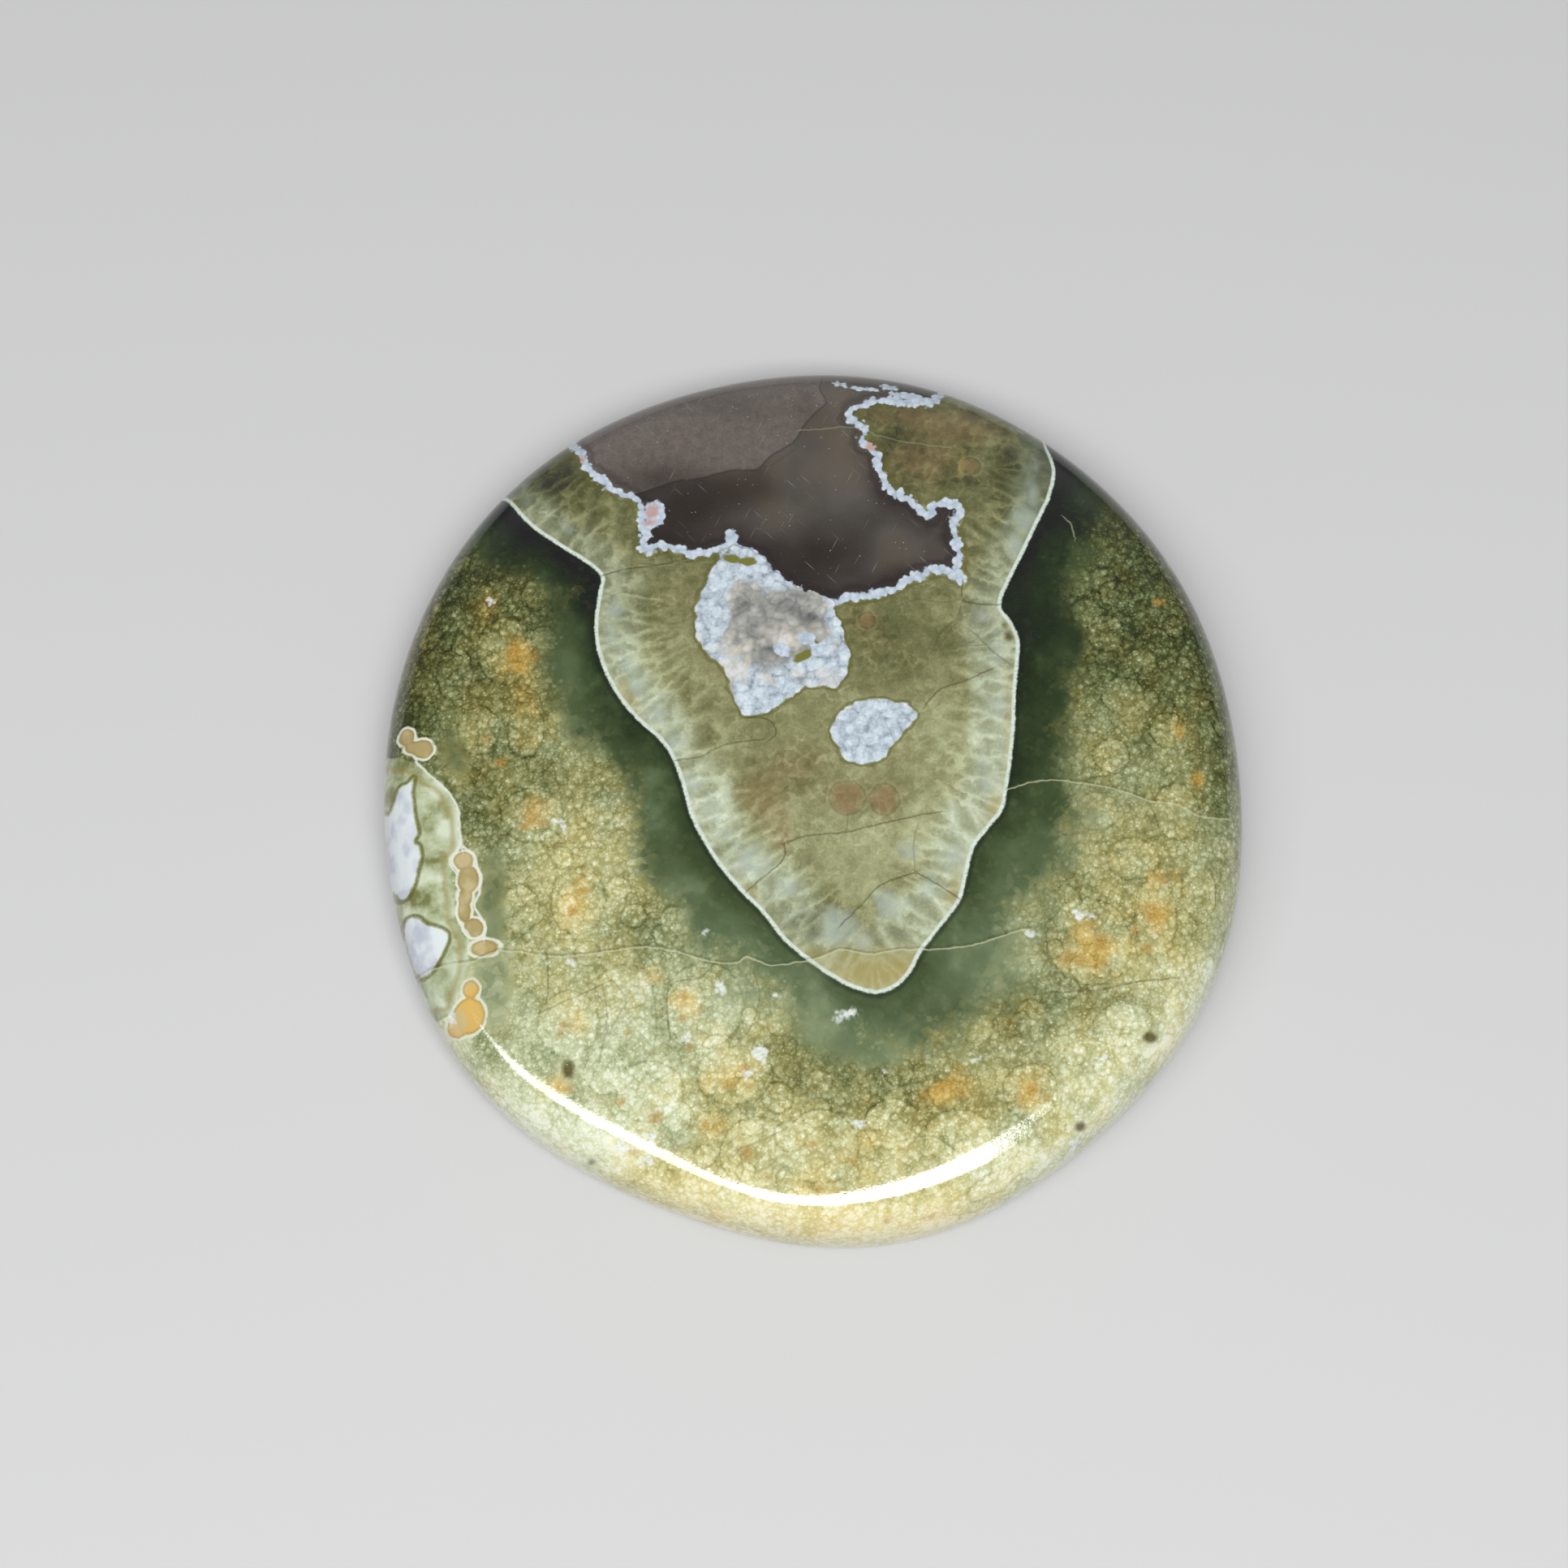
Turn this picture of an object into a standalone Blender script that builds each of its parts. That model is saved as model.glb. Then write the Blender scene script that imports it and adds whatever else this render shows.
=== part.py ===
"""Rainforest rhyolite cabochon: one polished stone, nearly round, with a low
crown, a rounded shoulder, a narrow girdle and a flat back.

Metres, +Z up. The flat back lies on z = 0, and the outline is centred on the
Z axis with its longer way along Y.
"""

import math

import bmesh
import bpy
from mathutils import Vector

# Driving dimensions
WIDTH = 0.0400
LENGTH = 0.0421
THICKNESS = 0.0061
CROWN_RISE = 0.0009
SHOULDER_DROP = 0.0032
GIRDLE_HEIGHT = 0.0004
BACK_RUN = 0.0013

# The shoulder's inward run, which narrows round one direction, in degrees
SHOULDER_RUN = 0.00275
NARROWING = 0.00105
NARROWEST = -95
NARROW_SPREAD = 15

# The shoulder's section: 2 is an ellipse's quarter, more is squarer
SHOULDER_POWER = 2.5

# The hand-cut outline wavers around an oval: lobes, depth, direction in degrees
WAVERS = (
    (2, 0.000125, 135),
    (3, 0.000055, -58),
    (4, 0.000075, 43),
    (5, 0.000105, -5),
    (6, 0.000090, -24),
    (7, 0.000070, 23),
)

# How finely the curves are divided
SIDES = 120
TOP_RINGS = 8
SHOULDER_STEPS = 10
BACK_STEPS = 6

STONE_COLOUR = (0.13, 0.15, 0.08, 1.0)
STONE_ROUGHNESS = 0.18


def clear_scene():
    for old in list(bpy.data.objects):
        bpy.data.objects.remove(old, do_unlink=True)


def girdle_outline():
    """The outline seen from above, stretched to WIDTH by LENGTH and centred."""
    mean_radius = (WIDTH + LENGTH) / 4
    points = []
    for step in range(SIDES):
        angle = math.tau * step / SIDES
        radius = mean_radius
        for lobes, depth, direction in WAVERS:
            radius += depth * math.cos(lobes * (angle - math.radians(direction)))
        points.append(Vector((radius * math.cos(angle), radius * math.sin(angle), 0)))
    low_x, high_x = min(p.x for p in points), max(p.x for p in points)
    low_y, high_y = min(p.y for p in points), max(p.y for p in points)
    return [
        Vector((
            WIDTH * ((p.x - low_x) / (high_x - low_x) - 0.5),
            LENGTH * ((p.y - low_y) / (high_y - low_y) - 0.5),
            0,
        ))
        for p in points
    ]


def shoulder_run(point):
    """The shoulder's inward run at a point of the outline."""
    angle = math.degrees(math.atan2(point.y, point.x)) - NARROWEST
    angle = (angle + 180) % 360 - 180
    return SHOULDER_RUN - NARROWING * math.exp(-(angle / NARROW_SPREAD) ** 2)


def add_ring(mesh, outline, insets, height, shrink=1.0, crown=0.0):
    """One ring of vertices, moved in from the outline, then shrunk towards
    the middle, and raised by the crown's share at each point."""
    ring = []
    for point, inset in zip(outline, insets):
        share = (1 - inset / point.length) * shrink
        top = height + crown * (1 - share * share)
        ring.append(mesh.verts.new((point.x * share, point.y * share, top)))
    return ring


def stone_rings(mesh, outline):
    """The rings from the rim of the flat back up to the last one round the
    middle of the top."""
    back_height = THICKNESS - CROWN_RISE - SHOULDER_DROP - GIRDLE_HEIGHT
    girdle_top = back_height + GIRDLE_HEIGHT
    runs = [shoulder_run(point) for point in outline]
    rings = []
    for step in range(BACK_STEPS + 1):
        angle = math.pi / 2 * step / BACK_STEPS
        insets = [BACK_RUN * (1 - math.sin(angle))] * SIDES
        rings.append(add_ring(mesh, outline, insets, back_height * (1 - math.cos(angle))))
    for step in range(SHOULDER_STEPS + 1):
        angle = math.pi / 2 * step / SHOULDER_STEPS
        kept = math.cos(angle) ** (2 / SHOULDER_POWER) if step < SHOULDER_STEPS else 0
        insets = [run * (1 - kept) for run in runs]
        height = girdle_top + SHOULDER_DROP * math.sin(angle) ** (2 / SHOULDER_POWER)
        rings.append(add_ring(mesh, outline, insets, height, crown=CROWN_RISE))
    for step in range(1, TOP_RINGS):
        shrink = 1 - step / TOP_RINGS
        height = girdle_top + SHOULDER_DROP
        rings.append(add_ring(mesh, outline, runs, height, shrink, CROWN_RISE))
    return rings


def bridge(mesh, lower, upper):
    for index, corner in enumerate(lower):
        after = (index + 1) % len(lower)
        mesh.faces.new((corner, lower[after], upper[after], upper[index]))


def stone_mesh():
    mesh = bmesh.new()
    rings = stone_rings(mesh, girdle_outline())
    for lower, upper in zip(rings, rings[1:]):
        bridge(mesh, lower, upper)
    apex = mesh.verts.new((0, 0, THICKNESS))
    last = rings[-1]
    for index, corner in enumerate(last):
        mesh.faces.new((corner, last[(index + 1) % SIDES], apex))
    back = mesh.faces.new(list(reversed(rings[0])))
    for face in mesh.faces:
        face.smooth = face is not back
    data = bpy.data.meshes.new("cabochon")
    mesh.to_mesh(data)
    mesh.free()
    return data


def stone_material():
    material = bpy.data.materials.new("rhyolite")
    material.use_nodes = True
    shader = material.node_tree.nodes["Principled BSDF"]
    shader.inputs["Base Color"].default_value = STONE_COLOUR
    shader.inputs["Roughness"].default_value = STONE_ROUGHNESS
    shader.inputs["Metallic"].default_value = 0.0
    return material


def build_cabochon():
    data = stone_mesh()
    data.materials.append(stone_material())
    stone = bpy.data.objects.new("cabochon", data)
    bpy.context.scene.collection.objects.link(stone)
    return stone


clear_scene()
build_cabochon()
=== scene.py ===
"""The looks of the rainforest rhyolite cabochon.

One fine mesh stands for the stone. Its pattern runs right through it: every
vertex is given its distances to the borders, cracks and beads of the pattern,
and the material turns those distances and some three-dimensional textures into
the stone's colours. Lengths in this script are millimetres, and plan positions
are complex numbers, x + iy, until the mesh and the lights are made in metres.
"""

import math

import bpy
import numpy as np
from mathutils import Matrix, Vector


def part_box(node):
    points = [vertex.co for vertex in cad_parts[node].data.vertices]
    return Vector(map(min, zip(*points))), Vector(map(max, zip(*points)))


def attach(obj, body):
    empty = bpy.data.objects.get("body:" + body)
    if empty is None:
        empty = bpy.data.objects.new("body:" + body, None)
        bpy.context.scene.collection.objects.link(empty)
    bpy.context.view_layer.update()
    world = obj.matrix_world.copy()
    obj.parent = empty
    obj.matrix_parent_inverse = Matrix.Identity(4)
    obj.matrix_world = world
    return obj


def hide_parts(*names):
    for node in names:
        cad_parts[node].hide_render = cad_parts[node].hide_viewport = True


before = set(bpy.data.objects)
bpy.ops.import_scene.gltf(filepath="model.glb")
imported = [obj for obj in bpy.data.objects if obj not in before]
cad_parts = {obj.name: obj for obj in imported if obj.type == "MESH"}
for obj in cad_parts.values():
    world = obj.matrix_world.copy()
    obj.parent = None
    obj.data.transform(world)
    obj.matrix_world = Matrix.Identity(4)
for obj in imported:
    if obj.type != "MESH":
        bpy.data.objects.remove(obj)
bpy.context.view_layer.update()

MM = 0.001

# What the lights below add up to on level white, and what the polish adds to every
# colour of the stone
STUDIO_BRIGHTNESS = 1.47
POLISH_SHINE = 0.014

# The photograph's view: its side in pixels, and where the stone's middle is
PHOTO_SIDE = 1932
VIEW_ELEVATION = math.radians(73)
VIEW_DISTANCE = 140.0
VIEW_MIDDLE = np.array([0.0, 0.0, 2.8])
MIDDLE_PIXEL = (1001.0, 976.3)
PIXELS_PER_MM = 26.45
SENSOR = 36.0

# The stone's form, as the solid has it
LOW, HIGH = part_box("cabochon")
WIDTH, LENGTH, THICKNESS = (HIGH - LOW) / MM
CROWN_RISE = 0.9
SHOULDER_DROP = 3.2
GIRDLE_HEIGHT = 0.4
BACK_RUN = 1.3
BACK_HEIGHT = THICKNESS - CROWN_RISE - SHOULDER_DROP - GIRDLE_HEIGHT
GIRDLE_TOP = BACK_HEIGHT + GIRDLE_HEIGHT
SHOULDER_RUN = 2.75
NARROWING = 1.05
NARROWEST = math.radians(-95)
NARROW_SPREAD = math.radians(15)
SHOULDER_POWER = 2.5
WAVERS = (
    (2, 0.125, 135),
    (3, 0.055, -58),
    (4, 0.075, 43),
    (5, 0.105, -5),
    (6, 0.090, -24),
    (7, 0.070, 23),
)

# The pattern leans this far sideways for each millimetre of depth
LEAN = complex(-0.16, 0.10)
PATTERN_LEVEL = 5.2

# The rows of the photograph over which the rock is painted lighter, partly its own paler tone and
# partly painted light from the window on the near side: the first, and how many
LIGHTER_FROM = 650
LIGHTER_ROWS = 850

# How deep the waves and the fine grain of the polish and the natural pits are, how
# rough the polish looks on the top and on the back, and how the stone bends light
POLISH_WAVE = 0.006
POLISH_GRAIN = 0.0016
PIT_DEPTH = 0.04
TOP_ROUGHNESS = 0.09
BACK_ROUGHNESS = 0.39
STONE_IOR = 1.7

# The window's height in metres, and its panes as seen from the stone: left, right,
# near and far edge, each as a share of the height, and how bright each is
WINDOW_HEIGHT = 0.40
WINDOW_PANES = (
    ("window_near", -0.14, 0.56, -0.64, -0.52, 14.2),
    ("window", -0.14, 0.49, -0.52, -0.42, 14.2),
    ("window_middle", -0.14, 0.43, -0.42, -0.32, 14.2),
    ("window_back", -0.14, 0.37, -0.32, -0.22, 14.2),
    ("window_far", -0.14, 0.30, -0.22, -0.12, 14.2),
    ("window_left", -0.28, -0.14, -0.66, -0.20, 11.0),
    ("window_side", -0.45, -0.28, -0.60, -0.22, 9.5),
    ("window_end", -0.90, -0.45, -0.52, -0.26, 9.5),
)

# The room: its colour and glow, and how much lighter it gets in one direction, from
# which cosine of the angle to it
ROOM_COLOUR = (0.97, 0.98, 1.0, 1.0)
ROOM_GLOW = 0.19
ROOM_EXTRA = 0.36
ROOM_LIGHTER_TOWARDS = (0.0, 0.88, 0.47)
ROOM_LIGHTER_FROM = 0.72

# The floor: half its side in metres, its screen colour and its roughness
FLOOR_REACH = 0.6
FLOOR_COLOUR = (206, 206, 206)
FLOOR_ROUGHNESS = 0.9

# How finely the mesh is divided, in rings, each with so many more sides than the last
RING_SIDES = 8
TOP_RINGS = 118
SHOULDER_RINGS = 26
BACK_RINGS = 5
FLAT_RINGS = 36


def outline_table():
    """The girdle as directions and radii, stretched to the solid's width and length."""
    turn = np.linspace(0, math.tau, 2881)
    radius = np.full_like(turn, (WIDTH + LENGTH) / 4)
    for lobes, depth, direction in WAVERS:
        radius += depth * np.cos(lobes * (turn - math.radians(direction)))
    x, y = radius * np.cos(turn), radius * np.sin(turn)
    x = WIDTH * ((x - x.min()) / np.ptp(x) - 0.5)
    y = LENGTH * ((y - y.min()) / np.ptp(y) - 0.5)
    plan = x + 1j * y
    order = np.argsort(np.angle(plan))
    return np.angle(plan)[order], np.abs(plan)[order]


OUTLINE = outline_table()


def girdle_radius(direction):
    return np.interp(direction, *OUTLINE, period=math.tau)


def shoulder_run(direction):
    away = np.angle(np.exp(1j * (direction - NARROWEST)))
    return SHOULDER_RUN - NARROWING * np.exp(-(away / NARROW_SPREAD) ** 2)


def top_height(plan):
    """How high the top of the stone is over a plan position."""
    direction = np.angle(plan)
    radius = girdle_radius(direction)
    run = shoulder_run(direction)
    inset = np.clip(radius - np.abs(plan), 0, run)
    shoulder = (1 - (1 - inset / run) ** SHOULDER_POWER) ** (1 / SHOULDER_POWER)
    share = np.clip(np.abs(plan) / radius, 0, 1)
    return GIRDLE_TOP + SHOULDER_DROP * shoulder + CROWN_RISE * (1 - share ** 2)


# Camera and the way from a pixel to the stone

BACKWARD = np.array([0, -math.cos(VIEW_ELEVATION), math.sin(VIEW_ELEVATION)])
UPWARD = np.array([0, math.sin(VIEW_ELEVATION), math.cos(VIEW_ELEVATION)])
EYE = VIEW_MIDDLE + BACKWARD * VIEW_DISTANCE


def make_camera():
    camera = bpy.data.objects.new("camera", bpy.data.cameras.new("camera"))
    bpy.context.scene.collection.objects.link(camera)
    camera.location = Vector(EYE) * MM
    camera.rotation_euler = (-Vector(BACKWARD)).to_track_quat("-Z", "Y").to_euler()
    camera.data.sensor_width = SENSOR
    camera.data.lens = SENSOR * PIXELS_PER_MM * VIEW_DISTANCE / PHOTO_SIDE
    camera.data.shift_x = (PHOTO_SIDE / 2 - MIDDLE_PIXEL[0]) / PHOTO_SIDE
    camera.data.shift_y = (MIDDLE_PIXEL[1] - PHOTO_SIDE / 2) / PHOTO_SIDE
    camera.data.clip_start = 0.001
    camera.data.clip_end = 10
    bpy.context.scene.camera = camera


def on_stone(pixels):
    """Pattern positions, as complex numbers, of pixels of the photograph."""
    pixels = np.asarray(pixels, float)
    across = (pixels[:, 0] - MIDDLE_PIXEL[0]) / PIXELS_PER_MM
    along = (MIDDLE_PIXEL[1] - pixels[:, 1]) / PIXELS_PER_MM
    rays = np.outer(across, [1, 0, 0]) + np.outer(along, UPWARD) - BACKWARD * VIEW_DISTANCE
    height = np.full(len(pixels), PATTERN_LEVEL)
    for _ in range(40):
        reach = (height - EYE[2]) / rays[:, 2]
        plan = EYE[0] + reach * rays[:, 0] + 1j * (EYE[1] + reach * rays[:, 1])
        height = 0.6 * height + 0.4 * top_height(plan)
    return plan + (height - PATTERN_LEVEL) * LEAN


# Outlines, open lines and spots of the pattern, in pixels of the photograph. An open
# line is its strength and its points. A spot is x, y, its radius across and along, and
# its turn in degrees where it has one.

WEDGE = (
    (1255, 440), (960, 400), (640, 480), (585, 570), (629, 620), (654, 647), (690, 672),
    (719, 690), (741, 709), (739, 728), (735, 754), (734, 779), (739, 808), (752, 840), (770, 868),
    (790, 890), (811, 908), (829, 933), (843, 972), (851, 1003), (867, 1035), (887, 1066),
    (914, 1098), (942, 1126), (966, 1157), (994, 1181), (1029, 1205), (1056, 1218), (1082, 1223),
    (1105, 1214), (1121, 1197), (1136, 1170), (1159, 1140), (1182, 1109), (1191, 1075),
    (1199, 1044), (1216, 1021), (1234, 998), (1240, 971), (1245, 937), (1249, 899), (1250, 861),
    (1253, 823), (1255, 792), (1247, 769), (1232, 746), (1243, 715), (1262, 677), (1278, 643),
    (1293, 612), (1299, 578), (1289, 551), (1278, 535), (1268, 500),
)
AGATE = (
    (1190, 440), (960, 400), (720, 470), (703, 535), (709, 551), (717, 562), (727, 580),
    (745, 594), (763, 607), (778, 613), (788, 622), (792, 640), (797, 655), (791, 676), (815, 672),
    (831, 676), (851, 682), (868, 681), (883, 678), (901, 672), (919, 679), (940, 689), (954, 708),
    (976, 726), (1000, 736), (1029, 742), (1044, 735), (1075, 733), (1105, 723), (1124, 712),
    (1151, 702), (1170, 706), (1186, 716), (1179, 696), (1181, 677), (1174, 650), (1183, 627),
    (1168, 620), (1151, 624), (1145, 636), (1124, 618), (1098, 604), (1086, 585), (1079, 559),
    (1063, 545), (1067, 528), (1046, 511), (1067, 497), (1100, 494), (1147, 495), (1168, 480),
)
QUARTZ = (
    (
        (886, 688), (869, 719), (858, 747), (858, 779), (869, 804), (894, 826), (901, 854),
        (915, 879), (940, 879), (969, 861), (990, 846), (1014, 846), (1036, 842), (1046, 807),
        (1038, 777), (1028, 757), (1018, 735), (985, 728), (960, 712), (942, 694), (925, 682),
        (905, 678),
    ),
    (
        (1025, 899), (1033, 880), (1063, 863), (1094, 861), (1128, 876), (1121, 891), (1102, 914),
        (1082, 937), (1048, 939), (1033, 922),
    ),
)
AGATE_PALE = (
    (690, 420), (680, 560), (727, 580), (770, 608), (807, 601), (834, 592), (861, 589), (900, 579),
    (932, 578), (948, 562), (976, 545), (990, 524), (1007, 505), (1018, 497), (1014, 488),
    (1009, 478), (1012, 464), (1014, 430),
)
CRUST_LUMPS = (
    (806, 633, 14, 19), (901, 661, 9, 11), (1148, 631, 7, 8), (994, 786, 12, 9, 20),
    (963, 800, 13, 9, -20), (1007, 800, 10, 8), (1096, 477, 12, 5, -15), (1064, 479, 26, 4, -6),
    (1034, 473, 10, 3.5, -10), (1122, 489, 26, 7, -10),
)
POD = (
    (430, 930), (475, 938), (505, 938), (517, 944), (528, 955), (542, 966), (553, 976), (562, 992),
    (565, 1006), (565, 1022), (568, 1043), (560, 1060), (557, 1080), (561, 1104), (562, 1127),
    (568, 1141), (578, 1155), (578, 1175), (574, 1200), (566, 1230), (556, 1250), (520, 1264),
    (480, 1246), (430, 1100),
)
POD_WHITES = (
    (
        (460, 1000), (479, 1006), (487, 987), (493, 971), (502, 966), (510, 958), (507, 972),
        (508, 990), (511, 1008), (514, 1025), (510, 1038), (517, 1043), (518, 1056), (514, 1073),
        (509, 1091), (502, 1105), (493, 1109), (483, 1104), (466, 1080), (456, 1040),
    ),
    (
        (498, 1147), (502, 1134), (513, 1131), (528, 1140), (549, 1148), (551, 1161), (542, 1179),
        (533, 1196), (521, 1204), (510, 1196), (501, 1174),
    ),
)
BORDER_BEADS = (
    (501, 909, 9, 11), (521, 923, 13, 12), (508, 921, 9, 8), (571, 1060, 12, 11),
    (577, 1084, 13, 17), (573, 1106, 9, 12), (572, 1122, 8, 15, 5), (584, 1143, 12, 11, -30),
    (597, 1168, 17, 10, 5), (580, 1219, 10, 11), (578, 1252, 19, 22), (566, 1264, 14, 14),
)
WHITE_LINES = (
    (
        1.0, (512, 938), (528, 954), (542, 966), (553, 976), (562, 992), (566, 1006), (566, 1022),
        (570, 1043), (584, 1053), (589, 1071), (593, 1082), (589, 1104), (585, 1118), (597, 1138),
        (597, 1155),
    ),
    (0.9, (566, 1043), (556, 1056), (555, 1066), (561, 1074)),
    (0.9, (564, 1102), (563, 1127), (569, 1141), (580, 1155)),
)
WHITE_FLECKS = (
    (687, 1011, 10, 5), (695, 1020, 5, 10, 10), (1042, 1251, 17, 7, 20), (937, 1298, 11, 11),
    (1058, 1385, 8, 6), (1270, 1150, 7, 7), (770, 1415, 7, 5), (799, 1430, 9, 8),
    (1357, 1308, 10, 6, 30), (1325, 1410, 11, 8, 40), (604, 743, 6, 7), (1343, 1128, 7, 5),
    (705, 1185, 6, 5), (555, 1257, 6, 9), (868, 1150, 5, 5), (1205, 1305, 6, 6),
    (1090, 1320, 5, 5), (764, 1410, 6, 10, 10), (802, 1403, 8, 7), (1331, 1128, 9, 7),
    (888, 1217, 8, 8), (845, 1280, 7, 7), (921, 1324, 9, 6, 30), (957, 1229, 5, 5),
)
RUST_CORES = (
    (842, 1226, 6, 7), (849, 1290, 5, 6), (919, 1316, 6, 6), (899, 1337, 7, 5, 20),
    (924, 1339, 6, 5), (776, 1272, 6, 5), (841, 1256, 5, 5), (697, 1262, 9, 6), (690, 1275, 5, 6),
    (703, 1339, 7, 5), (807, 1377, 11, 7), (766, 1355, 7, 6), (888, 1296, 6, 6), (779, 1421, 7, 4),
    (919, 1420, 9, 9), (870, 1386, 7, 6), (658, 1008, 10, 7, 20), (645, 1018, 6, 5),
    (668, 1015, 5, 6), (599, 909, 5, 7, 20), (618, 938, 8, 7), (632, 806, 9, 12), (640, 826, 6, 6),
    (715, 1098, 8, 6), (706, 1122, 6, 8), (1356, 1159, 9, 11, 20), (1314, 1181, 7, 7),
    (1333, 1183, 10, 6), (1345, 1138, 6, 6), (1360, 1186, 6, 7), (1419, 1124, 11, 11),
    (1415, 1168, 7, 9), (1398, 1148, 5, 6), (1160, 1340, 15, 7, 20), (1184, 1348, 6, 5),
    (1140, 1348, 6, 4), (1272, 1343, 8, 9), (1258, 1355, 5, 5), (1290, 1352, 5, 6),
    (1474, 960, 6, 6), (1256, 861, 4, 6), (1428, 742, 9, 6), (1150, 1498, 12, 4, 15),
    (1010, 1466, 8, 5), (1246, 1487, 10, 4, -30), (1092, 1505, 7, 4), (606, 742, 4, 5),
    (1000, 1410, 6, 5), (1052, 1432, 7, 5), (945, 1450, 6, 4), (1433, 1084, 6, 6),
    (1455, 905, 5, 7),
)
LARGE_ORBS = (
    (868, 1238, 46, 52), (700, 1262, 36, 40), (1342, 1160, 50, 54, 20), (1424, 1130, 26, 50),
    (655, 1005, 38, 34), (1010, 1412, 46, 44), (932, 1420, 42, 42), (905, 1325, 46, 34),
    (1369, 931, 22, 22), (1384, 857, 27, 25), (1362, 780, 24, 24), (1375, 732, 20, 18),
    (622, 802, 34, 44), (590, 900, 26, 30), (770, 1216, 34, 26), (1450, 1000, 28, 36),
    (1396, 1058, 32, 26), (1270, 1345, 32, 34), (1180, 1400, 40, 32), (712, 1110, 32, 42),
    (648, 900, 22, 36), (1478, 1100, 22, 36), (800, 1345, 40, 36), (1100, 1385, 34, 30),
    (1352, 1000, 26, 24), (640, 1120, 24, 30), (1440, 900, 24, 22), (1384, 1262, 36, 26, 15),
    (560, 830, 22, 34), (745, 1320, 24, 28),
)
PITS = (
    (1243, 784, 5.5, 5.5), (700, 1317, 7, 11), (1417, 1278, 10, 7), (1331, 1388, 7, 6),
    (1238, 770, 3, 3), (729, 1432, 4, 3),
)
QUARTZ_ISLETS = (
    (902, 688, 12, 6, -10), (922, 692, 12, 6, -10), (990, 808, 15, 6, 32), (1004, 797, 6, 9, -20),
)
PALE_LUMPS = (
    (752, 784, 11, 12), (771, 822, 12, 12), (786, 846, 10, 11), (810, 880, 12, 12),
    (758, 752, 11, 10), (880, 1006, 9, 13, 20), (897, 1028, 11, 11), (928, 1060, 22, 18, 30),
    (968, 1093, 22, 14, 25), (1032, 1136, 24, 15, 10), (1098, 1112, 20, 15, -20),
    (1021, 1156, 18, 10), (1121, 1050, 14, 12), (1176, 1057, 14, 16), (1219, 958, 12, 18),
    (1231, 872, 11, 20), (1228, 800, 10, 14), (1212, 762, 14, 10), (1272, 610, 10, 18),
    (1252, 672, 10, 14), (1262, 640, 12, 20), (850, 962, 11, 13), (832, 920, 10, 12),
    (1060, 1162, 16, 10), (1145, 1098, 13, 13),
)
BROWN_ROUNDS = (
    (1044, 983, 21, 21), (1090, 985, 17, 19), (1196, 574, 11, 10), (1068, 764, 9, 9),
)
CRACKS = (
    (1.0, (742, 709), (763, 703), (781, 700), (813, 696), (852, 691)),
    (1.0, (1232, 745), (1205, 744), (1186, 738), (1186, 716)),
    (0.5, (1186, 758), (1168, 780), (1151, 807)),
    (0.6, (1197, 777), (1224, 803), (1243, 817)),
    (0.9, (1224, 823), (1190, 838), (1159, 849), (1140, 869)),
    (0.8, (833, 936), (861, 933), (883, 922), (904, 915), (940, 911)),
    (0.9, (966, 1039), (998, 1029), (1044, 1025), (1105, 1010), (1160, 1000)),
    (0.9, (966, 1039), (966, 1059), (938, 1082), (920, 1098)),
    (0.9, (1128, 1075), (1086, 1090), (1059, 1117), (1036, 1140)),
    (0.9, (1130, 1075), (1156, 1090), (1182, 1107)),
    (0.9, (900, 578), (932, 578), (952, 572), (976, 556)),
    (0.7, (673, 1174), (676, 1206), (674, 1230)),
    (0.6, (665, 1248), (693, 1235), (717, 1225), (741, 1213), (756, 1207)),
    (0.45, (756, 1209), (772, 1233), (760, 1254), (752, 1272)),
    (0.4, (804, 1217), (809, 1256), (806, 1296)),
    (0.45, (911, 1418), (915, 1442), (908, 1460)),
    (0.4, (905, 1403), (891, 1415), (880, 1432)),
    (0.4, (1180, 1420), (1150, 1400), (1110, 1405)),
    (0.7, (1331, 819), (1380, 819), (1434, 823), (1473, 823)),
    (0.8, (1300, 1222), (1350, 1220), (1400, 1210), (1450, 1205)),
    (0.55, (930, 1201), (936, 1229), (926, 1264), (911, 1280), (895, 1276)),
    (0.5, (1044, 1003), (1044, 1024)),
    (1.0, (922, 884), (938, 884), (951, 890), (957, 901), (949, 911)),
    (0.6, (1186, 738), (1178, 762), (1160, 778), (1150, 800)),
    (0.5, (1128, 1075), (1126, 1040), (1130, 1016)),
    (0.5, (1186, 738), (1160, 742), (1130, 738), (1104, 748)),
    (0.6, (880, 1186), (862, 1205), (828, 1212), (822, 1240), (826, 1280)),
    (0.5, (741, 1213), (748, 1245), (742, 1290), (730, 1330)),
    (0.5, (905, 1418), (960, 1395), (1000, 1368), (1040, 1372)),
    (0.5, (1390, 940), (1365, 955), (1340, 960), (1320, 985)),
    (0.5, (1290, 1160), (1295, 1190), (1320, 1215), (1360, 1222)),
)
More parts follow.
